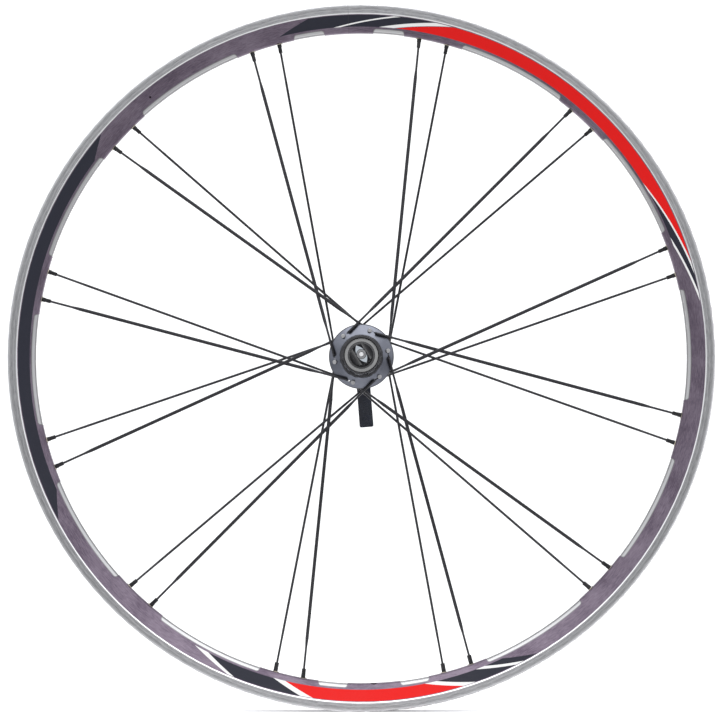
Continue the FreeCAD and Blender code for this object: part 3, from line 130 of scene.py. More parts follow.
class SpokeSettings(bpy.types.PropertyGroup):
    spoke: colour("Spokes", "Black oxide of the spokes", (0.030, 0.030, 0.034))
    nipple: colour("Nipples", "Black anodised nipples", (0.018, 0.018, 0.020))
    eyelet: colour("Eyelets", "Pressed steel eyelets", (0.52, 0.47, 0.40))
    # Painted highlight: the light grey given to the outer end of each head outside a flange.
    head: colour("Spoke heads", "Painted highlight on the spokes' heads", (0.42, 0.42, 0.43))


class HubSettings(bpy.types.PropertyGroup):
    shell: colour("Hub shell", "Gunmetal anodised aluminium", (0.20, 0.21, 0.25))
    dish: rotation("Flange dish", "Slope that the flange faces seem to have", 21.0)
    flange_edge: length("Flange edge", "Radius of the drive flange's edge", 29.0)
    freehub: colour("Freehub", "Plated steel", (0.08, 0.08, 0.085))
    shoulder: colour("Shoulder", "Ground steel inside the freehub's mouth", (0.34, 0.34, 0.34))
    # The races' grey is far darker than bare ground steel, so the ring between the nut and the
    # freehub's mouth reads dark.
    face: colour("Ground faces", "Ground steel of races and faces", (0.13, 0.13, 0.135))
    cap: colour("End caps", "Black anodised end caps", (0.015, 0.015, 0.018))
    thread_radius: length("Lockring thread", "Radius of the lockring thread's ridges", 15.12)
    thread_pitch: length("Thread pitch", "Pitch of the lockring thread", 1.0)
    thread_ridge: length("Thread ridge", "Radius of one thread ridge", 0.28)


class SkewerSettings(bpy.types.PropertyGroup):
    lever: colour("Lever", "Satin black lever", (0.010, 0.012, 0.020))
    nut: colour("Nut", "Gloss black nut", (0.010, 0.010, 0.012))
    grip: colour("Grip face", "Polished face of the nut's grip", (0.50, 0.54, 0.58))
    grip_angle: rotation("Grip angle", "Angle at which the nut's grip stands", 122.0)
    grip_width: length("Grip width", "Width of the polished face", 8.2)
    grip_curve: length("Grip curve", "Radius of the polished face's two sides", 11.4)
    rod: colour("Rod", "Plated steel rod", (0.85, 0.85, 0.86))
    wire: length("Spring wire", "Radius of the skewer springs' wire", 0.4)
    turns: FloatProperty(name="Spring turns", description="Turns of a skewer spring", default=4.0)
    facets: IntProperty(name="Facets", description="Points in each turn of a coil", default=48)


class StageSettings(bpy.types.PropertyGroup):
    distance: length("Distance", "From the middle of the axle to the camera", 2650.0)
    elevation: rotation("Elevation", "Angle of the camera above the axle's level", -1.8)
    lens: FloatProperty(name="Lens", description="Focal length", default=147.42, unit="CAMERA")
    shift_x: FloatProperty(name="Shift across", description="Lens shift", default=-0.0019)
    shift_y: FloatProperty(name="Shift up", description="Lens shift", default=-0.0026)
    floor: colour("Floor", "Pale floor and backdrop", (0.86, 0.86, 0.86))
    apron: colour("Apron", "Floor in front of the wheel", (0.36, 0.36, 0.36))
    glow: FloatProperty(name="Backdrop glow", description="Light the backdrop gives", default=0.3)
    key: FloatProperty(name="Key light", description="Its power", default=32.0, unit="POWER")
    top: FloatProperty(name="Top light", description="Its power", default=16.0, unit="POWER")


SETTINGS = {
    "wheel_rim": RimSettings,
    "wheel_spokes": SpokeSettings,
    "wheel_hub": HubSettings,
    "wheel_skewer": SkewerSettings,
    "wheel_stage": StageSettings,
}


# ---- building node trees ---------------------------------------------------------------------

class Graph:
    """Adds and joins nodes in one tree; values may be sockets to link or plain constants."""

    def __init__(self, tree):
        self.tree = tree

    def feed(self, socket, value):
        """Links a socket to the input, or sets the input to a plain value."""
        if isinstance(value, bpy.types.NodeSocket):
            self.tree.links.new(value, socket)
        elif socket.type == "RGBA" and len(value) == 3:
            socket.default_value = (*value, 1.0)
        else:
            socket.default_value = value

    def add(self, kind, inputs=(), **settings):
        """A new node with its settings, and with its inputs fed."""
        node = self.tree.nodes.new(kind)
        for name, value in settings.items():
            setattr(node, name, value)
        for key, value in dict(inputs).items():
            self.feed(node.inputs[key], value)
        return node

    def math(self, operation, *values, clamp=False):
        node = self.add("ShaderNodeMath", operation=operation, use_clamp=clamp)
        for socket, value in zip(node.inputs, values):
            self.feed(socket, value)
        return node.outputs[0]

    def plus(self, first, second):
        return self.math("ADD", first, second)

    def minus(self, first, second, clamp=False):
        return self.math("SUBTRACT", first, second, clamp=clamp)

    def times(self, first, second):
        return self.math("MULTIPLY", first, second)

    def scaled(self, value, factor, shift, clamp=False):
        """The value times a factor, plus a shift."""
        return self.math("MULTIPLY_ADD", value, factor, shift, clamp=clamp)

    def larger(self, first, second):
        return self.math("MAXIMUM", first, second)

    def absolute(self, value):
        return self.math("ABSOLUTE", value)

    def blend(self, share, first, second, mode="MIX"):
        """The first colour at share 0 and the second, or its mode, at share 1."""
        node = self.add("ShaderNodeMix", data_type="RGBA", blend_type=mode)
        for index, value in ((0, share), (6, first), (7, second)):
            self.feed(node.inputs[index], value)
        return node.outputs[2]

    def between(self, share, low, high):
        """The number low at share 0 and high at share 1."""
        node = self.add("ShaderNodeMix", data_type="FLOAT")
        for index, value in ((0, share), (2, low), (3, high)):
            self.feed(node.inputs[index], value)
        return node.outputs[0]

    def smooth(self, value, low, high):
        """0 up to low and 1 from high, eased between; low may be the larger of the two."""
        node = self.add("ShaderNodeMapRange", interpolation_type="SMOOTHSTEP")
        for name, number in (("Value", value), ("From Min", low), ("From Max", high)):
            self.feed(node.inputs[name], number)
        return node.outputs["Result"]

    def noise(self, scale, detail=2.0, vector=None, w=None, roughness=0.5):
        dimensions = "1D" if w is not None else "3D"
        node = self.add("ShaderNodeTexNoise", noise_dimensions=dimensions)
        if w is not None:
            self.feed(node.inputs["W"], w)
        if vector is not None:
            self.feed(node.inputs["Vector"], vector)
        self.feed(node.inputs["Scale"], scale)
        self.feed(node.inputs["Detail"], detail)
        self.feed(node.inputs["Roughness"], roughness)
        return node.outputs["Fac"]

    def place(self):
        """Where a point lies on its object."""
        return self.add("ShaderNodeTexCoord").outputs["Object"]

    def grey(self, tone):
        """The colour whose three channels are all this number."""
        return self.add("ShaderNodeCombineColor", {0: tone, 1: tone, 2: tone}).outputs[0]

    def group(self, name, **values):
        """The outputs of a node group, with its inputs fed by name."""
        node = self.add("ShaderNodeGroup", node_tree=bpy.data.node_groups[name])
        for key, value in values.items():
            self.feed(node.inputs[key.replace("_", " ")], value)
        return node.outputs


FLOAT = "NodeSocketFloat"


def shader_group(name, inputs, outputs):
    """An empty shader node group with named float inputs and named outputs."""
    tree = bpy.data.node_groups.new(name, "ShaderNodeTree")
    for label, default in inputs:
        socket = tree.interface.new_socket(label, in_out="INPUT", socket_type=FLOAT)
        socket.default_value = default
    for label, kind in outputs:
        tree.interface.new_socket(label, in_out="OUTPUT", socket_type=kind)
    graph = Graph(tree)
    return graph, graph.add("NodeGroupInput").outputs, graph.add("NodeGroupOutput").inputs


def axle_polar_group():
    """Where a point lies about the axle: its radius, its angle in degrees and its place along Y."""
    outputs = [("Radius", FLOAT), ("Angle", FLOAT), ("Axial", FLOAT)]
    graph, _, out = shader_group("axle polar", [], outputs)
    place = graph.place()
    x, y, z = graph.add("ShaderNodeSeparateXYZ", {"Vector": place}).outputs
    squares = graph.plus(graph.times(x, x), graph.times(z, z))
    degrees = graph.math("DEGREES", graph.math("ARCTAN2", z, x))
    graph.feed(out["Radius"], graph.math("SQRT", squares))
    graph.feed(out["Angle"], graph.math("MODULO", graph.plus(degrees, 360.0), 360.0))
    graph.feed(out["Axial"], y)


def lathe_marks_group():
    """Fine rings about the axle, as a turning tool leaves, a little uneven round the part."""
    inputs = [("Rings per metre", 2500.0), ("Unevenness", 0.25)]
    graph, given, out = shader_group("lathe marks", inputs, [("Rings", FLOAT)])
    polar = graph.group("axle polar")
    along = graph.plus(polar["Radius"], polar["Axial"])
    drift = graph.times(graph.noise(40.0), given["Unevenness"])
    count = graph.scaled(along, given["Rings per metre"], drift)
    graph.feed(out["Rings"], graph.noise(1.0, 4.0, w=count, roughness=0.7))


def brushed_streaks_group():
    """Short uneven streaks that run round the rim."""
    inputs = [("Across per metre", 1900.0), ("Along per degree", 0.9)]
    graph, given, out = shader_group("brushed streaks", inputs, [("Streaks", FLOAT)])
    polar = graph.group("axle polar")
    place = graph.add("ShaderNodeCombineXYZ", {
        "X": graph.times(polar["Angle"], given["Along per degree"]),
        "Y": graph.times(polar["Radius"], given["Across per metre"]),
        "Z": graph.times(polar["Axial"], given["Across per metre"]),
    }).outputs[0]
    graph.feed(out["Streaks"], graph.noise(1.0, 4.0, place, roughness=0.7))


def wear_group():
    """Mottle in the finish, short scuffs and settled dust, each from 0 to 1."""
    inputs = [("Size", 60.0), ("Scuff amount", 0.5), ("Dust amount", 0.5)]
    outputs = [("Mottle", FLOAT), ("Scuffs", FLOAT), ("Dust", FLOAT)]
    graph, given, out = shader_group("wear", inputs, outputs)
    place = graph.place()
    mottle = graph.noise(given["Size"], 5.0, place, roughness=0.6)
    stretched = graph.add("ShaderNodeMapping", {"Vector": place, "Scale": (9.0, 1.4, 1.2)})
    streaks = graph.noise(given["Size"], 6.0, stretched.outputs[0], roughness=0.75)
    scuffs = graph.smooth(streaks, 0.60, 0.74)
    cloud = graph.noise(given["Size"], 8.0, place, roughness=0.8)
    normal = graph.add("ShaderNodeNewGeometry").outputs["Normal"]
    up = graph.add("ShaderNodeSeparateXYZ", {"Vector": normal}).outputs["Z"]
    facing_up = graph.smooth(up, -0.4, 0.9)
    dust = graph.times(graph.smooth(cloud, 0.42, 0.72), facing_up)
    graph.feed(out["Mottle"], mottle)
    graph.feed(out["Scuffs"], graph.times(scuffs, given["Scuff amount"]))
    graph.feed(out["Dust"], graph.times(dust, given["Dust amount"]))


def satin_grain_group():
    """The fine bead-blasted grain of an anodised or painted face."""
    inputs = [("Grains per metre", 4000.0)]
    graph, given, out = shader_group("satin grain", inputs, [("Grain", FLOAT)])
    place = graph.place()
    graph.feed(out["Grain"], graph.noise(given["Grains per metre"], 2.0, place))


def slanted(graph, share, foot, head):
    """An angle that runs on in a straight line through its values at share 0 and 1."""
    return graph.scaled(share, graph.minus(head, foot), foot)


def polar_patch_group():
    """A patch between two radii whose two ends slant: 1 inside it and 0 outside."""
    inputs = [
        ("Radius", 0.0), ("Angle", 0.0), ("Inner", 0.0), ("Outer", 1.0),
        ("Foot", 0.0), ("Head", 1.0),
        ("Start inner", 0.0), ("Start outer", 0.0), ("End inner", 0.0), ("End outer", 0.0),
    ]
    graph, given, out = shader_group("polar patch", inputs, [("Mask", FLOAT)])
    radius, angle = given["Radius"], given["Angle"]
    reach = graph.minus(given["Head"], given["Foot"])
    share = graph.math("DIVIDE", graph.minus(radius, given["Foot"]), reach)
    start = slanted(graph, share, given["Start inner"], given["Start outer"])
    end = slanted(graph, share, given["End inner"], given["End outer"])
    soft_angle = 0.05
    soft_radius = 0.12 * MM
    after = graph.smooth(graph.minus(angle, start), -soft_angle, soft_angle)
    before = graph.smooth(graph.minus(end, angle), -soft_angle, soft_angle)
    rise = graph.minus(radius, given["Inner"])
    drop = graph.minus(given["Outer"], radius)
    above = graph.smooth(rise, -soft_radius, soft_radius)
    below = graph.smooth(drop, -soft_radius, soft_radius)
    along, across = graph.times(after, before), graph.times(above, below)
    graph.feed(out["Mask"], graph.times(along, across))


def build_shader_groups():
    axle_polar_group()
    lathe_marks_group()
    brushed_streaks_group()
    wear_group()
    satin_grain_group()
    polar_patch_group()


# ---- materials -------------------------------------------------------------------------------

DUST = (0.20, 0.19, 0.17)


def new_material(name):
    """A material with a Principled shader, and the graph that feeds it."""
    material = bpy.data.materials.new(name)
    material.use_nodes = True
    material.node_tree.nodes.clear()
    graph = Graph(material.node_tree)
    shader = graph.add("ShaderNodeBsdfPrincipled")
    output = graph.add("ShaderNodeOutputMaterial")
    graph.feed(output.inputs["Surface"], shader.outputs["BSDF"])
    return material, graph, shader.inputs


def bump(graph, height, depth_mm, strength=1.0):
    """The normal of a face raised by a height from 0 to 1 times a depth."""
    values = {"Height": height, "Distance": depth_mm * MM, "Strength": strength}
    return graph.add("ShaderNodeBump", values).outputs["Normal"]


def turned_metal(
    name, base, roughness, rings=2500.0, depth_mm=0.01, dust=0.2, scuffs=0.3, bright=0.25,
):
    """Metal cut on a lathe: rings about the axle in its tone, gloss and relief."""
    material, graph, shader = new_material(name)
    marks = graph.group("lathe marks", Rings_per_metre=rings)["Rings"]
    wear = graph.group("wear", Scuff_amount=scuffs, Dust_amount=dust)
    tone = graph.scaled(marks, 2 * bright, 1.0 - bright)
    shade = graph.blend(1.0, base, graph.grey(tone), "MULTIPLY")
    pale = [min(1.0, 0.25 + 0.75 * channel) for channel in base]
    shade = graph.blend(graph.times(wear["Scuffs"], 0.6), shade, pale)
    shade = graph.blend(graph.times(wear["Dust"], 0.5), shade, DUST)
    gloss = graph.scaled(wear["Mottle"], 0.16, roughness - 0.08)
    gloss = graph.scaled(marks, 0.10, gloss)
    graph.feed(shader["Base Color"], shade)
    graph.feed(shader["Metallic"], graph.scaled(wear["Dust"], -0.8, 1.0, clamp=True))
    graph.feed(shader["Roughness"], graph.scaled(wear["Dust"], 0.3, gloss, clamp=True))
    graph.feed(shader["Normal"], bump(graph, marks, depth_mm))
    return material


def satin_coating(
    name, base, roughness, metallic=0.0, coat=0.0, grain=4000.0, scuffs=0.4, dust=0.25, shine=0.5,
):
    """An anodised, oxidised or painted face with fine grain, faint mottle and rubbed scuffs."""
    material, graph, shader = new_material(name)
    grains = graph.group("satin grain", Grains_per_metre=grain)["Grain"]
    wear = graph.group("wear", Size=90.0, Scuff_amount=scuffs, Dust_amount=dust)
    worn = (0.30, 0.30, 0.31)
    lighter = [min(1.0, 1.5 * channel + 0.004) for channel in base]
    darker = [0.75 * channel for channel in base]
    shade = graph.blend(graph.smooth(wear["Mottle"], 0.30, 0.70), darker, lighter)
    shade = graph.blend(graph.times(wear["Scuffs"], 0.45), shade, worn)
    shade = graph.blend(graph.times(wear["Dust"], 0.35), shade, DUST)
    gloss = graph.scaled(grains, 0.14, roughness - 0.07)
    gloss = graph.scaled(wear["Mottle"], 0.12, gloss)
    graph.feed(shader["Base Color"], shade)
    graph.feed(shader["Roughness"], graph.scaled(wear["Dust"], 0.4, gloss, clamp=True))
    graph.feed(shader["Normal"], bump(graph, grains, 0.004, 0.6))
    shader["Metallic"].default_value = metallic
    shader["Specular IOR Level"].default_value = shine
    shader["Coat Weight"].default_value = coat
    shader["Coat Roughness"].default_value = 0.08
    return material


def rubber(name, base):
    """Moulded rubber: dull, with a fine grain and dust in it."""
    material, graph, shader = new_material(name)
    grains = graph.group("satin grain", Grains_per_metre=2500.0)["Grain"]
    wear = graph.group("wear", Size=120.0, Dust_amount=0.8, Scuff_amount=0.2)
    shade = graph.blend(graph.times(wear["Dust"], 0.5), base, (0.12, 0.115, 0.105))
    graph.feed(shader["Base Color"], shade)
    graph.feed(shader["Roughness"], graph.scaled(grains, 0.2, 0.55))
    graph.feed(shader["Normal"], bump(graph, grains, 0.02, 0.8))
    shader["Specular IOR Level"].default_value = 0.35
    return material


def woven_tape(name, base):
    """The close weave of a nylon rim tape, with its threads along and across the rim."""
    material, graph, shader = new_material(name)
    polar = graph.group("axle polar")
    along = graph.math("SINE", graph.times(polar["Angle"], 32.0))
    across = graph.math("SINE", graph.times(polar["Axial"], 9000.0))
    weave = graph.scaled(graph.times(along, across), 0.5, 0.5)
    wear = graph.group("wear", Size=70.0)
    lighter = [min(1.0, 1.6 * channel + 0.01) for channel in base]
    shade = graph.blend(graph.times(weave, 0.7), base, lighter)
    shade = graph.blend(graph.times(wear["Dust"], 0.6), shade, (0.25, 0.25, 0.26))
    graph.feed(shader["Base Color"], shade)
    graph.feed(shader["Roughness"], graph.scaled(weave, 0.2, 0.5))
    graph.feed(shader["Normal"], bump(graph, weave, 0.05, 0.7))
    shader["Sheen Weight"].default_value = 0.3
    return material


# ---- rim -------------------------------------------------------------------------------------

# Where the seam, the valve hole and the spoke pairs stand, and how far the reliefs stop from the
# middle of the first two, all in degrees.
SEAM_ANGLE = 92.2
VALVE_ANGLE = 272.2
PAIR_PITCH = 30.0
SEAM_GAP = 4.3
VALVE_GAP = 4.6

# Half the width across the brake tracks, the lips' inner radius and the sidewalls' painted depth.
TRACK_HALF_WIDTH = 9.7 * MM
LIP_RADIUS = 315.5 * MM
WALL_THICKNESS = 0.8 * MM

# Each decal patch: its colour, then the angles of its start and end, at the foot and at the top.
DECALS = [
    ("black", (143.3, 139.7), (204.0, 208.0)),
    ("black", (83.6, 75.6), (103.8, 99.4)),
    ("white", (83.4, 75.4), (86.0, 78.2)),
    ("white", (92.6, 84.2), (93.8, 85.4)),
    ("red", (30.0, 17.2), (83.0, 75.0)),
    ("black", (20.0, 11.6), (28.6, 15.4)),
    ("white", (28.4, 15.2), (30.2, 17.4)),
    ("white", (18.6, 10.1), (20.2, 11.8)),
    ("white", (240.7, 246.6), (243.2, 247.9)),
    ("black", (243.2, 247.9), (255.4, 259.6)),
    ("white", (255.2, 259.4), (257.4, 261.6)),
    ("red", (257.3, 261.5), (281.7, 286.9)),
    ("white", (281.6, 286.8), (283.8, 289.0)),
    ("black", (283.7, 288.9), (290.9, 296.3)),
    ("white", (290.8, 296.2), (292.5, 297.7)),
    ("black", (292.4, 297.6), (295.6, 300.1)),
]


def relief_depth(graph, polar, rim):
    """How far a point lies inside the machined reliefs: they stop short of each spoke pair, of the
    seam and of the valve hole, and their outer corners are round."""
    below = graph.minus(rim.relief_outer, polar["Radius"])
    phase = graph.minus(polar["Angle"], math.degrees(rim.pair_angle))
    from_pair = graph.math("PINGPONG", graph.plus(phase, 2 * PAIR_PITCH), PAIR_PITCH / 2)
    turn = graph.minus(from_pair, math.degrees(rim.relief_gap))
    for centre, half_gap in ((SEAM_ANGLE, SEAM_GAP), (VALVE_ANGLE, VALVE_GAP)):
        away = graph.absolute(graph.minus(polar["Angle"], centre))
        turn = graph.math("MINIMUM", turn, graph.minus(away, half_gap))
    along = graph.times(graph.math("RADIANS", turn), polar["Radius"])
    corner = rim.relief_corner
    side = graph.larger(graph.minus(corner, along), 0.0)
    rise = graph.larger(graph.minus(corner, below), 0.0)
    squares = graph.plus(graph.math("POWER", side, 2.0), graph.math("POWER", rise, 2.0))
    return graph.minus(corner, graph.math("SQRT", squares))


def outer_skin(graph, polar, rim):
    """1 on the outside of the two sidewalls and 0 in the tyre well and the hollow of the rim."""
    rise = graph.minus(polar["Radius"], rim.bed)
    share = graph.math("DIVIDE", rise, rim.chamfer_foot - rim.bed)
    middle = graph.between(share, rim.bed_offset, 0.0)
    half = graph.between(share, rim.bed_width / 2, rim.chamfer_half_width)
    out = graph.absolute(graph.minus(polar["Axial"], middle))
    within = graph.minus(out, half)
    return graph.smooth(within, -WALL_THICKNESS - SOFT, -WALL_THICKNESS + SOFT)


def with_decals(graph, shade, polar, rim):
    """The shade with the decals laid over it, and the mask of all of them."""
    outside = outer_skin(graph, polar, rim)
    painted = 0.0
    for paint_name, start, end in DECALS:
        patch = graph.group(
            "polar patch", Radius=polar["Radius"], Angle=polar["Angle"],
            Inner=rim.decal_inner, Outer=rim.decal_outer, Foot=rim.slant_foot, Head=rim.slant_head,
            Start_inner=start[0], Start_outer=start[1], End_inner=end[0], End_outer=end[1],
        )["Mask"]
        mask = graph.times(patch, outside)
        shade = graph.blend(mask, shade, getattr(rim, paint_name))
        painted = graph.larger(painted, mask)
    return shade, painted


def brushed_track(graph, radius, streaks, rings, rim):
    """The brake tracks' bare metal, brushed and ringed, with a painted highlight along the lip."""
    broad = graph.group("lathe marks", Rings_per_metre=480.0, Unevenness=1.4)["Rings"]
    tone = graph.scaled(graph.minus(streaks, 0.5), 1.5, 0.92)
    tone = graph.scaled(graph.minus(rings, 0.5), 0.9, tone)
    tone = graph.scaled(graph.minus(broad, 0.5), 0.7, tone)
    # Painted highlight: the metal's tone is raised in a narrow band along the lip.
    lip_highlight = graph.smooth(radius, LIP_RADIUS - 0.6 * MM, LIP_RADIUS)
    tone = graph.plus(tone, graph.times(lip_highlight, 0.45))
    return graph.blend(1.0, rim.track, graph.grey(tone), "MULTIPLY")


def rim_finish(rim):
    """Anodised sidewalls with decals, machined brake tracks, lips and reliefs, and a fine seam, with
    painted shadow along the reliefs' stepped edges and at their foot by the spoke bed.
    """
    material, graph, shader = new_material("rim anodised and machined")
    polar = graph.group("axle polar")
    radius, angle = polar["Radius"], polar["Angle"]
    wear = graph.group("wear", Size=26.0, Scuff_amount=0.35, Dust_amount=0.15)
    rings = graph.group("lathe marks", Rings_per_metre=2600.0, Unevenness=0.6)["Rings"]
    grains = graph.group("satin grain", Grains_per_metre=5000.0)["Grain"]
    streaks = graph.group("brushed streaks")["Streaks"]

    mottle = graph.times(wear["Mottle"], 0.45)
    cloud = graph.scaled(streaks, 0.55, mottle)
    faded = graph.blend(graph.smooth(cloud, 0.36, 0.64), rim.anodised_deep, rim.anodised)
    shade = graph.blend(graph.times(wear["Scuffs"], 0.35), faded, (0.34, 0.32, 0.35))
    shade, painted = with_decals(graph, shade, polar, rim)
    track = brushed_track(graph, radius, streaks, rings, rim)

    out = graph.absolute(polar["Axial"])
    on_face = graph.smooth(out, TRACK_HALF_WIDTH - SOFT, TRACK_HALF_WIDTH)
    past_edge = graph.smooth(radius, rim.track_inner - SOFT, rim.track_inner)
    on_track = graph.times(on_face, past_edge)
    past_wall = graph.smooth(radius, rim.chamfer_inner - 0.06 * MM, rim.chamfer_inner + 0.06 * MM)
    wide = graph.smooth(out, rim.chamfer_half_width - SOFT, rim.chamfer_half_width)
    on_chamfer = graph.times(past_wall, wide)
    depth = relief_depth(graph, polar, rim)
    relief = graph.smooth(depth, -SOFT / 2, SOFT / 2)
    # Painted shadow: a dark band just inside each relief's stepped edge, and along its foot by the
    # spoke bed.
    inward = graph.smooth(depth, 0.45 * MM, 0.75 * MM)
    step = graph.minus(relief, inward, clamp=True)
    near_bed = graph.smooth(radius, rim.bed + 1.1 * MM, rim.bed + 0.7 * MM)
    foot = graph.times(relief, near_bed)
    shadow = graph.larger(step, foot)
    bright = graph.larger(on_chamfer, relief)
    shade = graph.blend(relief, shade, rim.machined)
    shade = graph.blend(graph.times(shadow, 0.75), shade, (0.13, 0.125, 0.13))
    shade = graph.blend(on_chamfer, shade, rim.chamfer)
    shade = graph.blend(on_track, shade, track)
    seam = graph.absolute(graph.minus(angle, SEAM_ANGLE))
    shade = graph.blend(graph.smooth(seam, 0.025, 0.008), shade, (0.05, 0.05, 0.05))
    shade = graph.blend(graph.times(wear["Dust"], 0.3), shade, (0.22, 0.21, 0.20))

    cut = graph.larger(bright, on_track)
    covered = graph.times(painted, graph.minus(1.0, cut))
    gloss = graph.scaled(grains, 0.16, 0.34)
    gloss = graph.between(painted, gloss, 0.45)
    gloss = graph.between(cut, gloss, graph.scaled(rings, 0.22, 0.24))
    graph.feed(shader["Base Color"], shade)
    graph.feed(shader["Metallic"], graph.minus(1.0, covered))
    graph.feed(shader["Roughness"], graph.scaled(wear["Dust"], 0.3, gloss, clamp=True))
    shader["Specular IOR Level"].default_value = 0.15
    grooves = graph.times(rings, graph.scaled(on_track, 0.9, 0.1))
    fine = graph.plus(grooves, graph.times(grains, 0.1))
    height = graph.scaled(painted, 0.8, fine)
    graph.feed(shader["Normal"], bump(graph, height, 0.02, 0.5))
    return material


def paint(material, *names):
    """Gives CAD nodes their finish."""
    for name in names:
        NODES[name].material_slots[0].material = material


# ---- geometry nodes --------------------------------------------------------------------------

def coil_tree():
    """A tree that draws a coil about Y: a wire swept along a spiral whose ends lie flat."""
    tree = bpy.data.node_groups.new("coil about the axle", "GeometryNodeTree")
    sockets = [
        ("Start Radius", FLOAT, 0.004), ("End Radius", FLOAT, 0.005),
        ("Start", FLOAT, 0.0), ("End", FLOAT, 0.01),
        ("Turns", FLOAT, 4.0), ("Flat Turns", FLOAT, 0.5),
        ("Wire Radius", FLOAT, 0.0004), ("Points", "NodeSocketInt", 192),
        ("Material", "NodeSocketMaterial", None),
    ]
    for label, kind, default in sockets:
        socket = tree.interface.new_socket(label, in_out="INPUT", socket_type=kind)
        if default is not None:
            socket.default_value = default
    tree.interface.new_socket("Geometry", in_out="OUTPUT", socket_type="NodeSocketGeometry")
    graph = Graph(tree)
    given = graph.add("NodeGroupInput").outputs
    line = graph.add("GeometryNodeCurvePrimitiveLine").outputs[0]
    resampled = graph.add("GeometryNodeResampleCurve", {"Curve": line, "Count": given["Points"]})
    share = graph.add("GeometryNodeSplineParameter").outputs["Factor"]
    turned = graph.times(share, given["Turns"])
    angle = graph.times(turned, 2 * math.pi)
    radius = graph.between(share, given["Start Radius"], given["End Radius"])
    risen = graph.minus(turned, given["Flat Turns"])
    rising = graph.minus(given["Turns"], graph.times(given["Flat Turns"], 2.0))
    climbed = graph.math("DIVIDE", risen, rising, clamp=True)
    height = graph.between(climbed, given["Start"], given["End"])
    place = graph.add("ShaderNodeCombineXYZ", {
        "X": graph.times(radius, graph.math("COSINE", angle)),
        "Y": height,
        "Z": graph.times(radius, graph.math("SINE", angle)),
    }).outputs[0]
    spiral = graph.add("GeometryNodeSetPosition", {
        "Geometry": resampled.outputs[0], "Position": place,
    }).outputs[0]
    wire = graph.add("GeometryNodeCurvePrimitiveCircle", {
        "Resolution": 14, "Radius": given["Wire Radius"],
    }).outputs[0]
    swept = graph.add("GeometryNodeCurveToMesh", {
        "Curve": spiral, "Profile Curve": wire, "Fill Caps": True,
    }).outputs[0]
    smooth = graph.add("GeometryNodeSetShadeSmooth", {"Geometry": swept}).outputs[0]
    real = graph.add("GeometryNodeRealizeInstances", {"Geometry": smooth}).outputs[0]
    finished = graph.add("GeometryNodeSetMaterial", {
        "Geometry": real, "Material": given["Material"],
    })
    graph.feed(graph.add("NodeGroupOutput").inputs[0], finished.outputs[0])
    return tree


def grown_piece(name, tree, **values):
    """The plain mesh that a geometry-nodes tree makes from its named inputs."""
    seed = bpy.data.objects.new(name + "_seed", bpy.data.meshes.new(name + "_seed"))
    bpy.context.scene.collection.objects.link(seed)
    modifier = seed.modifiers.new("grow", "NODES")
    modifier.node_group = tree
    inputs = [item for item in tree.interface.items_tree if item.in_out == "INPUT"]
    identifiers = {item.name: item.identifier for item in inputs}
    for key, value in values.items():
        modifier[identifiers[key.replace("_", " ")]] = value
    bpy.context.view_layer.update()
    evaluated = seed.evaluated_get(bpy.context.evaluated_depsgraph_get())
    mesh = bpy.data.meshes.new_from_object(evaluated)
    bpy.data.objects.remove(seed)
    if not mesh.polygons:
        raise RuntimeError("%s came out empty" % name)
    mesh.name = name
    piece = bpy.data.objects.new(name, mesh)
    bpy.context.scene.collection.objects.link(piece)
    return piece


def coil_on(name, body, slot_name, material, replaced=(), pushed=None, **sizes):
    """A coil in the given material, attached to a body; when a second body is named, it is left
    unattached with its place baked into its mesh. The slot's name is not used.
    """
    tree = bpy.data.node_groups.get("coil about the axle") or coil_tree()
    piece = grown_piece(name, tree, Material=material, **sizes)
    if pushed:
        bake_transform(piece)
    else:
        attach(piece, body)
    if replaced:
        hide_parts(*replaced)


def spring_between(node, size, facets, material, body, pushed=None, flip=False):
    """A coil with the same ends as the CAD spring that it stands for, from its seat onwards. Its
    size is its radius at the start and at the end, the radius of its wire and its turns."""
    start_radius, end_radius, wire_radius, turns = size
    low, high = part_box(node)
    ends = [low.y + wire_radius, high.y - wire_radius]
    if flip:
        ends.reverse()
    coil_on(
        node + "_coil", body, "spring_steel", material, [node], pushed,
        Start_Radius=start_radius, End_Radius=end_radius, Start=ends[0], End=ends[1],
        Turns=turns, Flat_Turns=0.5, Wire_Radius=wire_radius, Points=int(turns * facets) + 1,
    )


# ---- operators -------------------------------------------------------------------------------

class WHEEL_OT_stage(bpy.types.Operator):
    """Sets up the floor, the backdrop, the soft lights and the camera"""
    bl_idname = "wheel.stage"
    bl_label = "Stage"

    def execute(self, context):
        stage = context.scene.wheel_stage
        sweep(stage, CAD_BOX)
        white_surround(context.scene)
        for name, place, size, power in (
            ("key_softbox", (0.2, -2.2, 2.3), (3.6, 1.4), stage.key),
            ("top_softbox", (0.0, 0.4, 2.3), (2.4, 1.2), stage.top),
        ):
            softbox(name, place, size, power)
        place_camera(context.scene, stage)
        return {"FINISHED"}


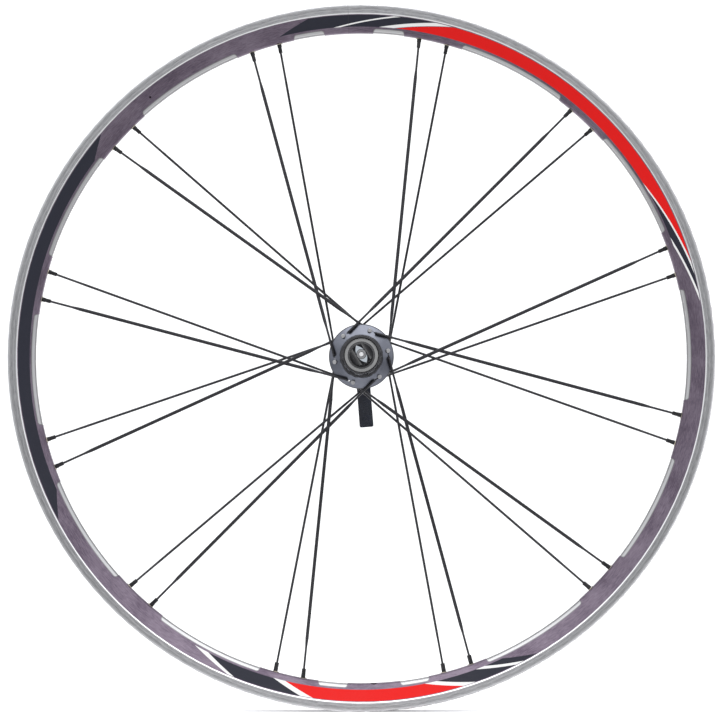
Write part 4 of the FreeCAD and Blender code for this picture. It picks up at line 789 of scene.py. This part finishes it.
def sweep(stage, box):
    """A floor under the rim that curves up into a backdrop. In front of the wheel, where the rim
    mirrors it, it is dim; behind, it is pale and gives a little light."""
    ground = box[0][2]
    near, bend_start, bend, top, half = -7.0, 5.0, 0.8, 4.0, 8.0
    outline = [(near, ground), (bend_start, ground)]
    steps = 16
    for i in range(1, steps + 1):
        angle = math.pi / 2 * i / steps
        rise = bend * (1 - math.cos(angle))
        outline.append((bend_start + bend * math.sin(angle), ground + rise))
    outline.append((bend_start + bend, top))
    points = [(x, y, z) for y, z in outline for x in (-half, half)]
    faces = [(2 * i, 2 * i + 1, 2 * i + 3, 2 * i + 2) for i in range(len(outline) - 1)]
    mesh = bpy.data.meshes.new("floor")
    mesh.from_pydata(points, [], faces)
    mesh.shade_smooth()
    material, graph, shader = new_material("pale floor")
    place = graph.place()
    depth = graph.add("ShaderNodeSeparateXYZ", {"Vector": place}).outputs["Y"]
    behind = graph.smooth(depth, -1.0, 0.0)
    grain = graph.group("satin grain", Grains_per_metre=300.0)["Grain"]
    pale = stage.floor
    back = graph.blend(grain, pale, [min(1.0, 1.03 * channel) for channel in pale])
    graph.feed(shader["Base Color"], graph.blend(behind, stage.apron, back))
    graph.feed(shader["Emission Color"], graph.blend(behind, (0.0, 0.0, 0.0), (1.0, 1.0, 1.0)))
    shader["Emission Strength"].default_value = stage.glow
    shader["Roughness"].default_value = 0.9
    shader["Specular IOR Level"].default_value = 0.1
    mesh.materials.append(material)
    floor = bpy.data.objects.new("floor", mesh)
    bpy.context.scene.collection.objects.link(floor)


def white_surround(scene):
    """An even white surround that metals can mirror, shown without a film curve."""
    world = bpy.data.worlds.new("surround")
    world.use_nodes = True
    world.node_tree.nodes.clear()
    graph = Graph(world.node_tree)
    background = graph.add("ShaderNodeBackground", {"Color": (0.97, 0.98, 1.0), "Strength": 1.0})
    output = graph.add("ShaderNodeOutputWorld")
    graph.feed(output.inputs["Surface"], background.outputs[0])
    scene.world = world
    scene.view_settings.view_transform = "Standard"


def softbox(name, place, size, power):
    """A rectangular light that faces the middle of the wheel."""
    light = bpy.data.lights.new(name, "AREA")
    light.shape = "RECTANGLE"
    light.size, light.size_y = size
    light.energy = power
    lamp = bpy.data.objects.new(name, light)
    lamp.location = place
    lamp.rotation_euler = (-Vector(place)).to_track_quat("-Z", "Y").to_euler()
    bpy.context.scene.collection.objects.link(lamp)


def place_camera(scene, stage):
    """A long lens level with the axle, a little below it, that frames the whole rim."""
    data = bpy.data.cameras.new("camera")
    data.sensor_width = 36.0
    data.lens = stage.lens
    data.clip_end = 50.0
    data.shift_x = stage.shift_x
    data.shift_y = stage.shift_y
    camera = bpy.data.objects.new("camera", data)
    tilt = stage.elevation
    camera.location = (0, -stage.distance * math.cos(tilt), stage.distance * math.sin(tilt))
    camera.rotation_euler = (math.pi / 2 - tilt, 0, 0)
    scene.collection.objects.link(camera)
    scene.camera = camera


class WHEEL_OT_rim(bpy.types.Operator):
    """Finishes the rim: anodising, decals, brake tracks, machined reliefs and the rim tape"""
    bl_idname = "wheel.rim"
    bl_label = "Rim"

    def execute(self, context):
        paint(rim_finish(context.scene.wheel_rim), "rim")
        paint(woven_tape("rim tape weave", (0.02, 0.06, 0.20)), "rim_tape")
        return {"FINISHED"}


# The spokes' heads stand past these places along the axle, outside the two flanges.
DRIVE_CROWN = -20.35 * MM
LEFT_CROWN = 39.35 * MM
SPOKE_COUNT = 24


class WHEEL_OT_spokes(bpy.types.Operator):
    """Finishes the 24 spokes, their nipples and the rim's eyelets"""
    bl_idname = "wheel.spokes"
    bl_label = "Spokes, nipples and eyelets"

    def execute(self, context):
        spokes = context.scene.wheel_spokes
        names = [name for name in NODES if name.startswith("spoke_") and name != "spoke_nipples"]
        if len(names) != SPOKE_COUNT:
            raise RuntimeError("the frame has %d spokes, not %d" % (len(names), SPOKE_COUNT))
        paint(spoke_finish(spokes), *names)
        inner = [name for name in names if "_in_" in name]
        paint(head_finish(spokes), *inner)
        nipples = satin_coating("nipple black", spokes.nipple, 0.38, metallic=0.7)
        paint(nipples, "spoke_nipples")
        paint(turned_metal("eyelet steel", spokes.eyelet, 0.34, dust=0.5), "rim_eyelets")
        return {"FINISHED"}


def spoke_finish(spokes, name="spoke black oxide"):
    """Black oxide with a satin sheen, rubbed grey here and there."""
    material, graph, shader = new_material(name)
    grains = graph.group("satin grain", Grains_per_metre=6000.0)["Grain"]
    wear = graph.group("wear", Size=45.0, Scuff_amount=0.5, Dust_amount=0.2)
    mottle = graph.times(wear["Mottle"], 0.6)
    shade = graph.blend(mottle, spokes.spoke, (0.045, 0.045, 0.050))
    shade = graph.blend(graph.times(wear["Scuffs"], 0.5), shade, (0.25, 0.25, 0.26))
    graph.feed(shader["Base Color"], shade)
    shader["Metallic"].default_value = 0.7
    graph.feed(shader["Roughness"], graph.scaled(grains, 0.16, 0.24))
    graph.feed(shader["Normal"], bump(graph, grains, 0.004, 0.6))
    return material


def head_finish(spokes):
    """The same black oxide, with a painted highlight: light steel grey on the outer end of a head
    outside a flange.
    """
    material = spoke_finish(spokes, "spoke black oxide head highlight")
    graph = Graph(material.node_tree)
    shader = next(node for node in graph.tree.nodes if node.type == "BSDF_PRINCIPLED").inputs
    axial = graph.group("axle polar")["Axial"]
    # Painted highlight: the outer end of a head is made light steel grey.
    drive = graph.smooth(axial, DRIVE_CROWN, DRIVE_CROWN - 2 * SOFT)
    left = graph.smooth(axial, LEFT_CROWN, LEFT_CROWN + 2 * SOFT)
    crown = graph.larger(drive, left)
    black = shader["Base Color"].links[0].from_socket
    graph.feed(shader["Base Color"], graph.blend(crown, black, spokes.head))
    return material


def flange_finish(hub):
    """Polished gunmetal anodising whose flange faces shade as if very slightly dished, with a
    painted dark outline just inside the flange's edge.
    """
    material, graph, shader = new_material("hub anodised gunmetal")
    polar = graph.group("axle polar")
    rings = graph.group("lathe marks", Rings_per_metre=1800.0)["Rings"]
    wear = graph.group("wear", Size=55.0, Scuff_amount=0.35, Dust_amount=0.25)
    darker = [0.72 * channel for channel in hub.shell]
    shade = graph.blend(graph.smooth(wear["Mottle"], 0.3, 0.7), darker, hub.shell)
    shade = graph.blend(graph.times(rings, 0.25), shade, darker)
    shade = graph.blend(graph.times(wear["Scuffs"], 0.4), shade, (0.45, 0.46, 0.50))
    shade = graph.blend(graph.times(wear["Dust"], 0.3), shade, DUST)
    # Painted shade: a near-black band just inside the flange's edge radius, drawn as a dark outline.
    edge = graph.smooth(polar["Radius"], hub.flange_edge - 0.9 * MM, hub.flange_edge - 0.3 * MM)
    shade = graph.blend(edge, shade, (0.02, 0.02, 0.025))
    graph.feed(shader["Base Color"], shade)
    shader["Metallic"].default_value = 1.0
    gloss = graph.scaled(wear["Mottle"], 0.14, 0.20)
    graph.feed(shader["Roughness"], graph.scaled(rings, 0.08, gloss))
    dish = graph.times(polar["Radius"], -math.tan(hub.dish))
    height = graph.scaled(rings, 0.004 * MM, dish)
    tilted = graph.add("ShaderNodeBump", {"Height": height, "Distance": 1.0})
    graph.feed(shader["Normal"], tilted.outputs["Normal"])
    return material


class WHEEL_OT_hub(bpy.types.Operator):
    """Finishes the hub shell, its bearings, the axle and the end caps"""
    bl_idname = "wheel.hub"
    bl_label = "Hub, bearings and axle"

    def execute(self, context):
        hub = context.scene.wheel_hub
        paint(flange_finish(hub), "hub_shell")
        # The races are given a grey far darker than bare ground steel, so the ring round the nut
        # reads dark.
        races = [name for name in NODES if name.endswith("_race")]
        ground = turned_metal(
            "race steel", hub.face, 0.22, rings=3500.0, depth_mm=0.004, dust=0.0,
        )
        paint(ground, *races)
        balls = turned_metal(
            "ball steel", (0.72, 0.72, 0.74), 0.10, rings=900.0, depth_mm=0.0005, dust=0.0,
            bright=0.03,
        )
        paint(balls, "hub_bearing_balls", "freehub_bearing_balls")
        alloy = turned_metal("axle alloy", (0.62, 0.62, 0.63), 0.30)
        paint(alloy, "axle", "axle_sleeve", "freehub_bearing_spacer")
        caps = turned_metal(
            "end cap black", hub.cap, 0.34, rings=2200.0, depth_mm=0.008, scuffs=0.1,
        )
        paint(caps, "end_cap_drive", "end_cap_left")
        return {"FINISHED"}


# Where the freehub's mouth changes: the foot and the radius of its lockring thread, the radius of
# its bore and the foot of its shoulder. A ratchet spring has its radius at the start and at the
# end, the radius of its wire and its turns.
THREAD_FOOT = -55.0 * MM
THREAD_RADIUS = 15.5 * MM
BORE_RADIUS = 14.6 * MM
SHOULDER_FOOT = -50.0 * MM
RATCHET_SPRING = (12.6 * MM, 11.3 * MM, 0.35 * MM, 2.5)


def freehub_finish(hub):
    """Plated steel, ground bright on the shoulder in its mouth, with painted shade making it nearly
    black down in the thread.
    """
    material, graph, shader = new_material("freehub plated steel")
    polar = graph.group("axle polar")
    rings = graph.group("lathe marks", Rings_per_metre=1500.0)["Rings"]
    wear = graph.group("wear", Size=110.0, Scuff_amount=0.8, Dust_amount=0.3)
    radius, axial = polar["Radius"], polar["Axial"]
    past_thread = graph.smooth(axial, THREAD_FOOT - SOFT, THREAD_FOOT)
    inside = graph.smooth(radius, THREAD_RADIUS + SOFT, THREAD_RADIUS - SOFT)
    short_of_bearing = graph.smooth(axial, SHOULDER_FOOT, SHOULDER_FOOT - 1.0 * MM)
    shoulder = graph.times(graph.times(past_thread, inside), short_of_bearing)
    # Painted shade: the bore of the lockring thread, and the thread's ridges on it, are made nearly
    # black.
    outside_bore = graph.smooth(radius, BORE_RADIUS - SOFT, BORE_RADIUS + SOFT)
    within_wall = graph.smooth(radius, THREAD_RADIUS + SOFT / 2, THREAD_RADIUS - SOFT / 2)
    thread = graph.times(outside_bore, within_wall)
    thread = graph.times(thread, graph.minus(1.0, past_thread))
    shade = graph.blend(graph.times(rings, 0.5), hub.freehub, (0.05, 0.05, 0.055))
    shade = graph.blend(graph.times(wear["Scuffs"], 0.7), shade, (0.60, 0.60, 0.61))
    shade = graph.blend(shoulder, shade, hub.shoulder)
    shade = graph.blend(thread, shade, (0.03, 0.03, 0.03))
    graph.feed(shader["Base Color"], shade)
    shader["Metallic"].default_value = 1.0
    graph.feed(shader["Roughness"], graph.scaled(wear["Mottle"], 0.16, 0.14))
    graph.feed(shader["Normal"], bump(graph, rings, 0.006))
    return material


class WHEEL_OT_freehub(bpy.types.Operator):
    """Finishes the freehub and its ratchet, and cuts the lockring thread"""
    bl_idname = "wheel.freehub"
    bl_label = "Freehub and ratchet"

    def execute(self, context):
        hub = context.scene.wheel_hub
        plated = freehub_finish(hub)
        paint(plated, "freehub_body")
        seals = rubber("seal rubber", (0.016, 0.016, 0.017))
        paint(seals, "freehub_seal", "freehub_bearing_seals")
        ratchet = turned_metal("ratchet steel", (0.42, 0.42, 0.44), 0.28, dust=0.1)
        paint(ratchet, "ratchet_ring_nut", "hub_ratchet", "freehub_ratchet")
        steel = spring_steel()
        facets = context.scene.wheel_skewer.facets
        spring_between(
            "hub_ratchet_spring", RATCHET_SPRING, facets, steel, "wheel", "hub_ratchet", flip=True,
        )
        spring_between(
            "freehub_ratchet_spring", RATCHET_SPRING, facets, steel, "freehub", "freehub_ratchet",
        )
        # The thread's ridges stop short of the mouth's edge and of the bearing.
        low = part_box("freehub_body")[0].y + 0.6 * MM
        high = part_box("freehub_outer_bearing_outer_race")[0].y - 0.2 * MM
        turns = (high - low) / hub.thread_pitch
        coil_on(
            "lockring_thread", "freehub", "freehub_steel", plated,
            Start_Radius=hub.thread_radius, End_Radius=hub.thread_radius, Start=low, End=high,
            Turns=turns, Flat_Turns=0.0, Wire_Radius=hub.thread_ridge,
            Points=int(turns * 2 * facets) + 1,
        )
        return {"FINISHED"}


def spring_steel():
    """Drawn spring wire, bright with a faint mottle, made once for all the springs."""
    found = bpy.data.materials.get("spring wire")
    return found or satin_coating(
        "spring wire", (0.50, 0.50, 0.51), 0.28, metallic=1.0, grain=2500.0,
    )


# The nut's front face along the axle, the radius of its hole and the springs' two end radii.
NUT_FACE = -84.0 * MM
NUT_HOLE = 4.4 * MM
SPRING_WIDE = 5.4 * MM
SPRING_NARROW = 3.6 * MM


def nut_finish(skewer):
    """Gloss black, polished bare on the raised grip's front face."""
    material, graph, shader = new_material("nut gloss black")
    polar = graph.group("axle polar")
    grains = graph.group("satin grain", Grains_per_metre=1500.0)["Grain"]
    wear = graph.group("wear", Size=140.0, Scuff_amount=0.2)
    place = graph.place()
    lens = graph.smooth(polar["Axial"], NUT_FACE + 0.4 * MM, NUT_FACE)
    across = skewer.grip_angle + math.pi / 2
    flat = graph.add("ShaderNodeVectorMath", {0: place, 1: (1.0, 0.0, 1.0)}, operation="MULTIPLY")
    sides = skewer.grip_curve - skewer.grip_width / 2
    for side in (-sides, sides):
        centre = (side * math.cos(across), 0.0, side * math.sin(across))
        away = graph.add(
            "ShaderNodeVectorMath", {0: flat.outputs[0], 1: centre}, operation="DISTANCE",
        ).outputs["Value"]
        within = graph.smooth(away, skewer.grip_curve, skewer.grip_curve - 2 * SOFT)
        lens = graph.times(lens, within)
    around_hole = graph.smooth(polar["Radius"], NUT_HOLE - SOFT, NUT_HOLE + SOFT)
    front = graph.times(lens, around_hole)
    shader["Specular IOR Level"].default_value = 0.06
    shade = graph.blend(graph.times(wear["Scuffs"], 0.3), skewer.nut, (0.25, 0.25, 0.26))
    shade = graph.blend(front, shade, skewer.grip)
    graph.feed(shader["Base Color"], shade)
    graph.feed(shader["Metallic"], front)
    graph.feed(shader["Roughness"], graph.scaled(grains, 0.08, 0.10))
    graph.feed(shader["Normal"], bump(graph, wear["Mottle"], 0.02, 0.3))
    return material


class WHEEL_OT_skewer(bpy.types.Operator):
    """Finishes the quick-release skewer and winds its two conical springs"""
    bl_idname = "wheel.skewer"
    bl_label = "Quick-release skewer"

    def execute(self, context):
        skewer = context.scene.wheel_skewer
        rod = turned_metal(
            "skewer steel", skewer.rod, 0.20, rings=1200.0, depth_mm=0.003, dust=0.1,
        )
        paint(rod, "skewer_rod", "cam_shaft")
        paint(nut_finish(skewer), "qr_nut")
        insert = turned_metal(
            "insert steel", (0.30, 0.30, 0.31), 0.24, rings=2600.0, depth_mm=0.006,
        )
        paint(insert, "qr_nut_insert")
        lever = satin_coating(
            "lever satin black", skewer.lever, 0.20, coat=0.12, grain=1500.0, scuffs=0.08,
            dust=0.05, shine=0.3,
        )
        paint(lever, "qr_lever")
        housing = satin_coating(
            "housing satin black", skewer.lever, 0.34, coat=0.1, dust=0.1, shine=0.35,
        )
        paint(housing, "cam_housing")
        steel = spring_steel()
        wound = (skewer.wire, skewer.turns)
        spring_between(
            "skewer_spring_drive", (SPRING_WIDE, SPRING_NARROW, *wound), skewer.facets, steel,
            "drive_spring",
        )
        spring_between(
            "skewer_spring_left", (SPRING_NARROW, SPRING_WIDE, *wound), skewer.facets, steel,
            "skewer_housing", "skewer_rod",
        )
        return {"FINISHED"}


class WHEEL_PT_panel(bpy.types.Panel):
    """Lists the wheel's settings and the operators that make it"""
    bl_idname = "WHEEL_PT_panel"
    bl_label = "Rear wheel"
    bl_space_type = "VIEW_3D"
    bl_region_type = "UI"
    bl_category = "Rear wheel"

    def draw(self, context):
        for operator in OPERATORS:
            self.layout.operator(operator.bl_idname)
        for name, group in SETTINGS.items():
            box = self.layout.box()
            settings = getattr(context.scene, name)
            for field in group.__annotations__:
                box.prop(settings, field)


OPERATORS = (
    WHEEL_OT_stage, WHEEL_OT_rim, WHEEL_OT_spokes, WHEEL_OT_hub, WHEEL_OT_freehub, WHEEL_OT_skewer,
)


def register():
    for group in SETTINGS.values():
        bpy.utils.register_class(group)
    for operator in OPERATORS:
        bpy.utils.register_class(operator)
    bpy.utils.register_class(WHEEL_PT_panel)
    for name, group in SETTINGS.items():
        setattr(bpy.types.Scene, name, PointerProperty(type=group))


def unregister():
    for name in SETTINGS:
        delattr(bpy.types.Scene, name)
    bpy.utils.unregister_class(WHEEL_PT_panel)
    for operator in reversed(OPERATORS):
        bpy.utils.unregister_class(operator)
    for group in reversed(SETTINGS.values()):
        bpy.utils.unregister_class(group)


def main():
    register()
    build_shader_groups()
    for operator in OPERATORS:
        area, action = operator.bl_idname.split(".")
        getattr(getattr(bpy.ops, area), action)()


if __name__ == "__main__":
    main()
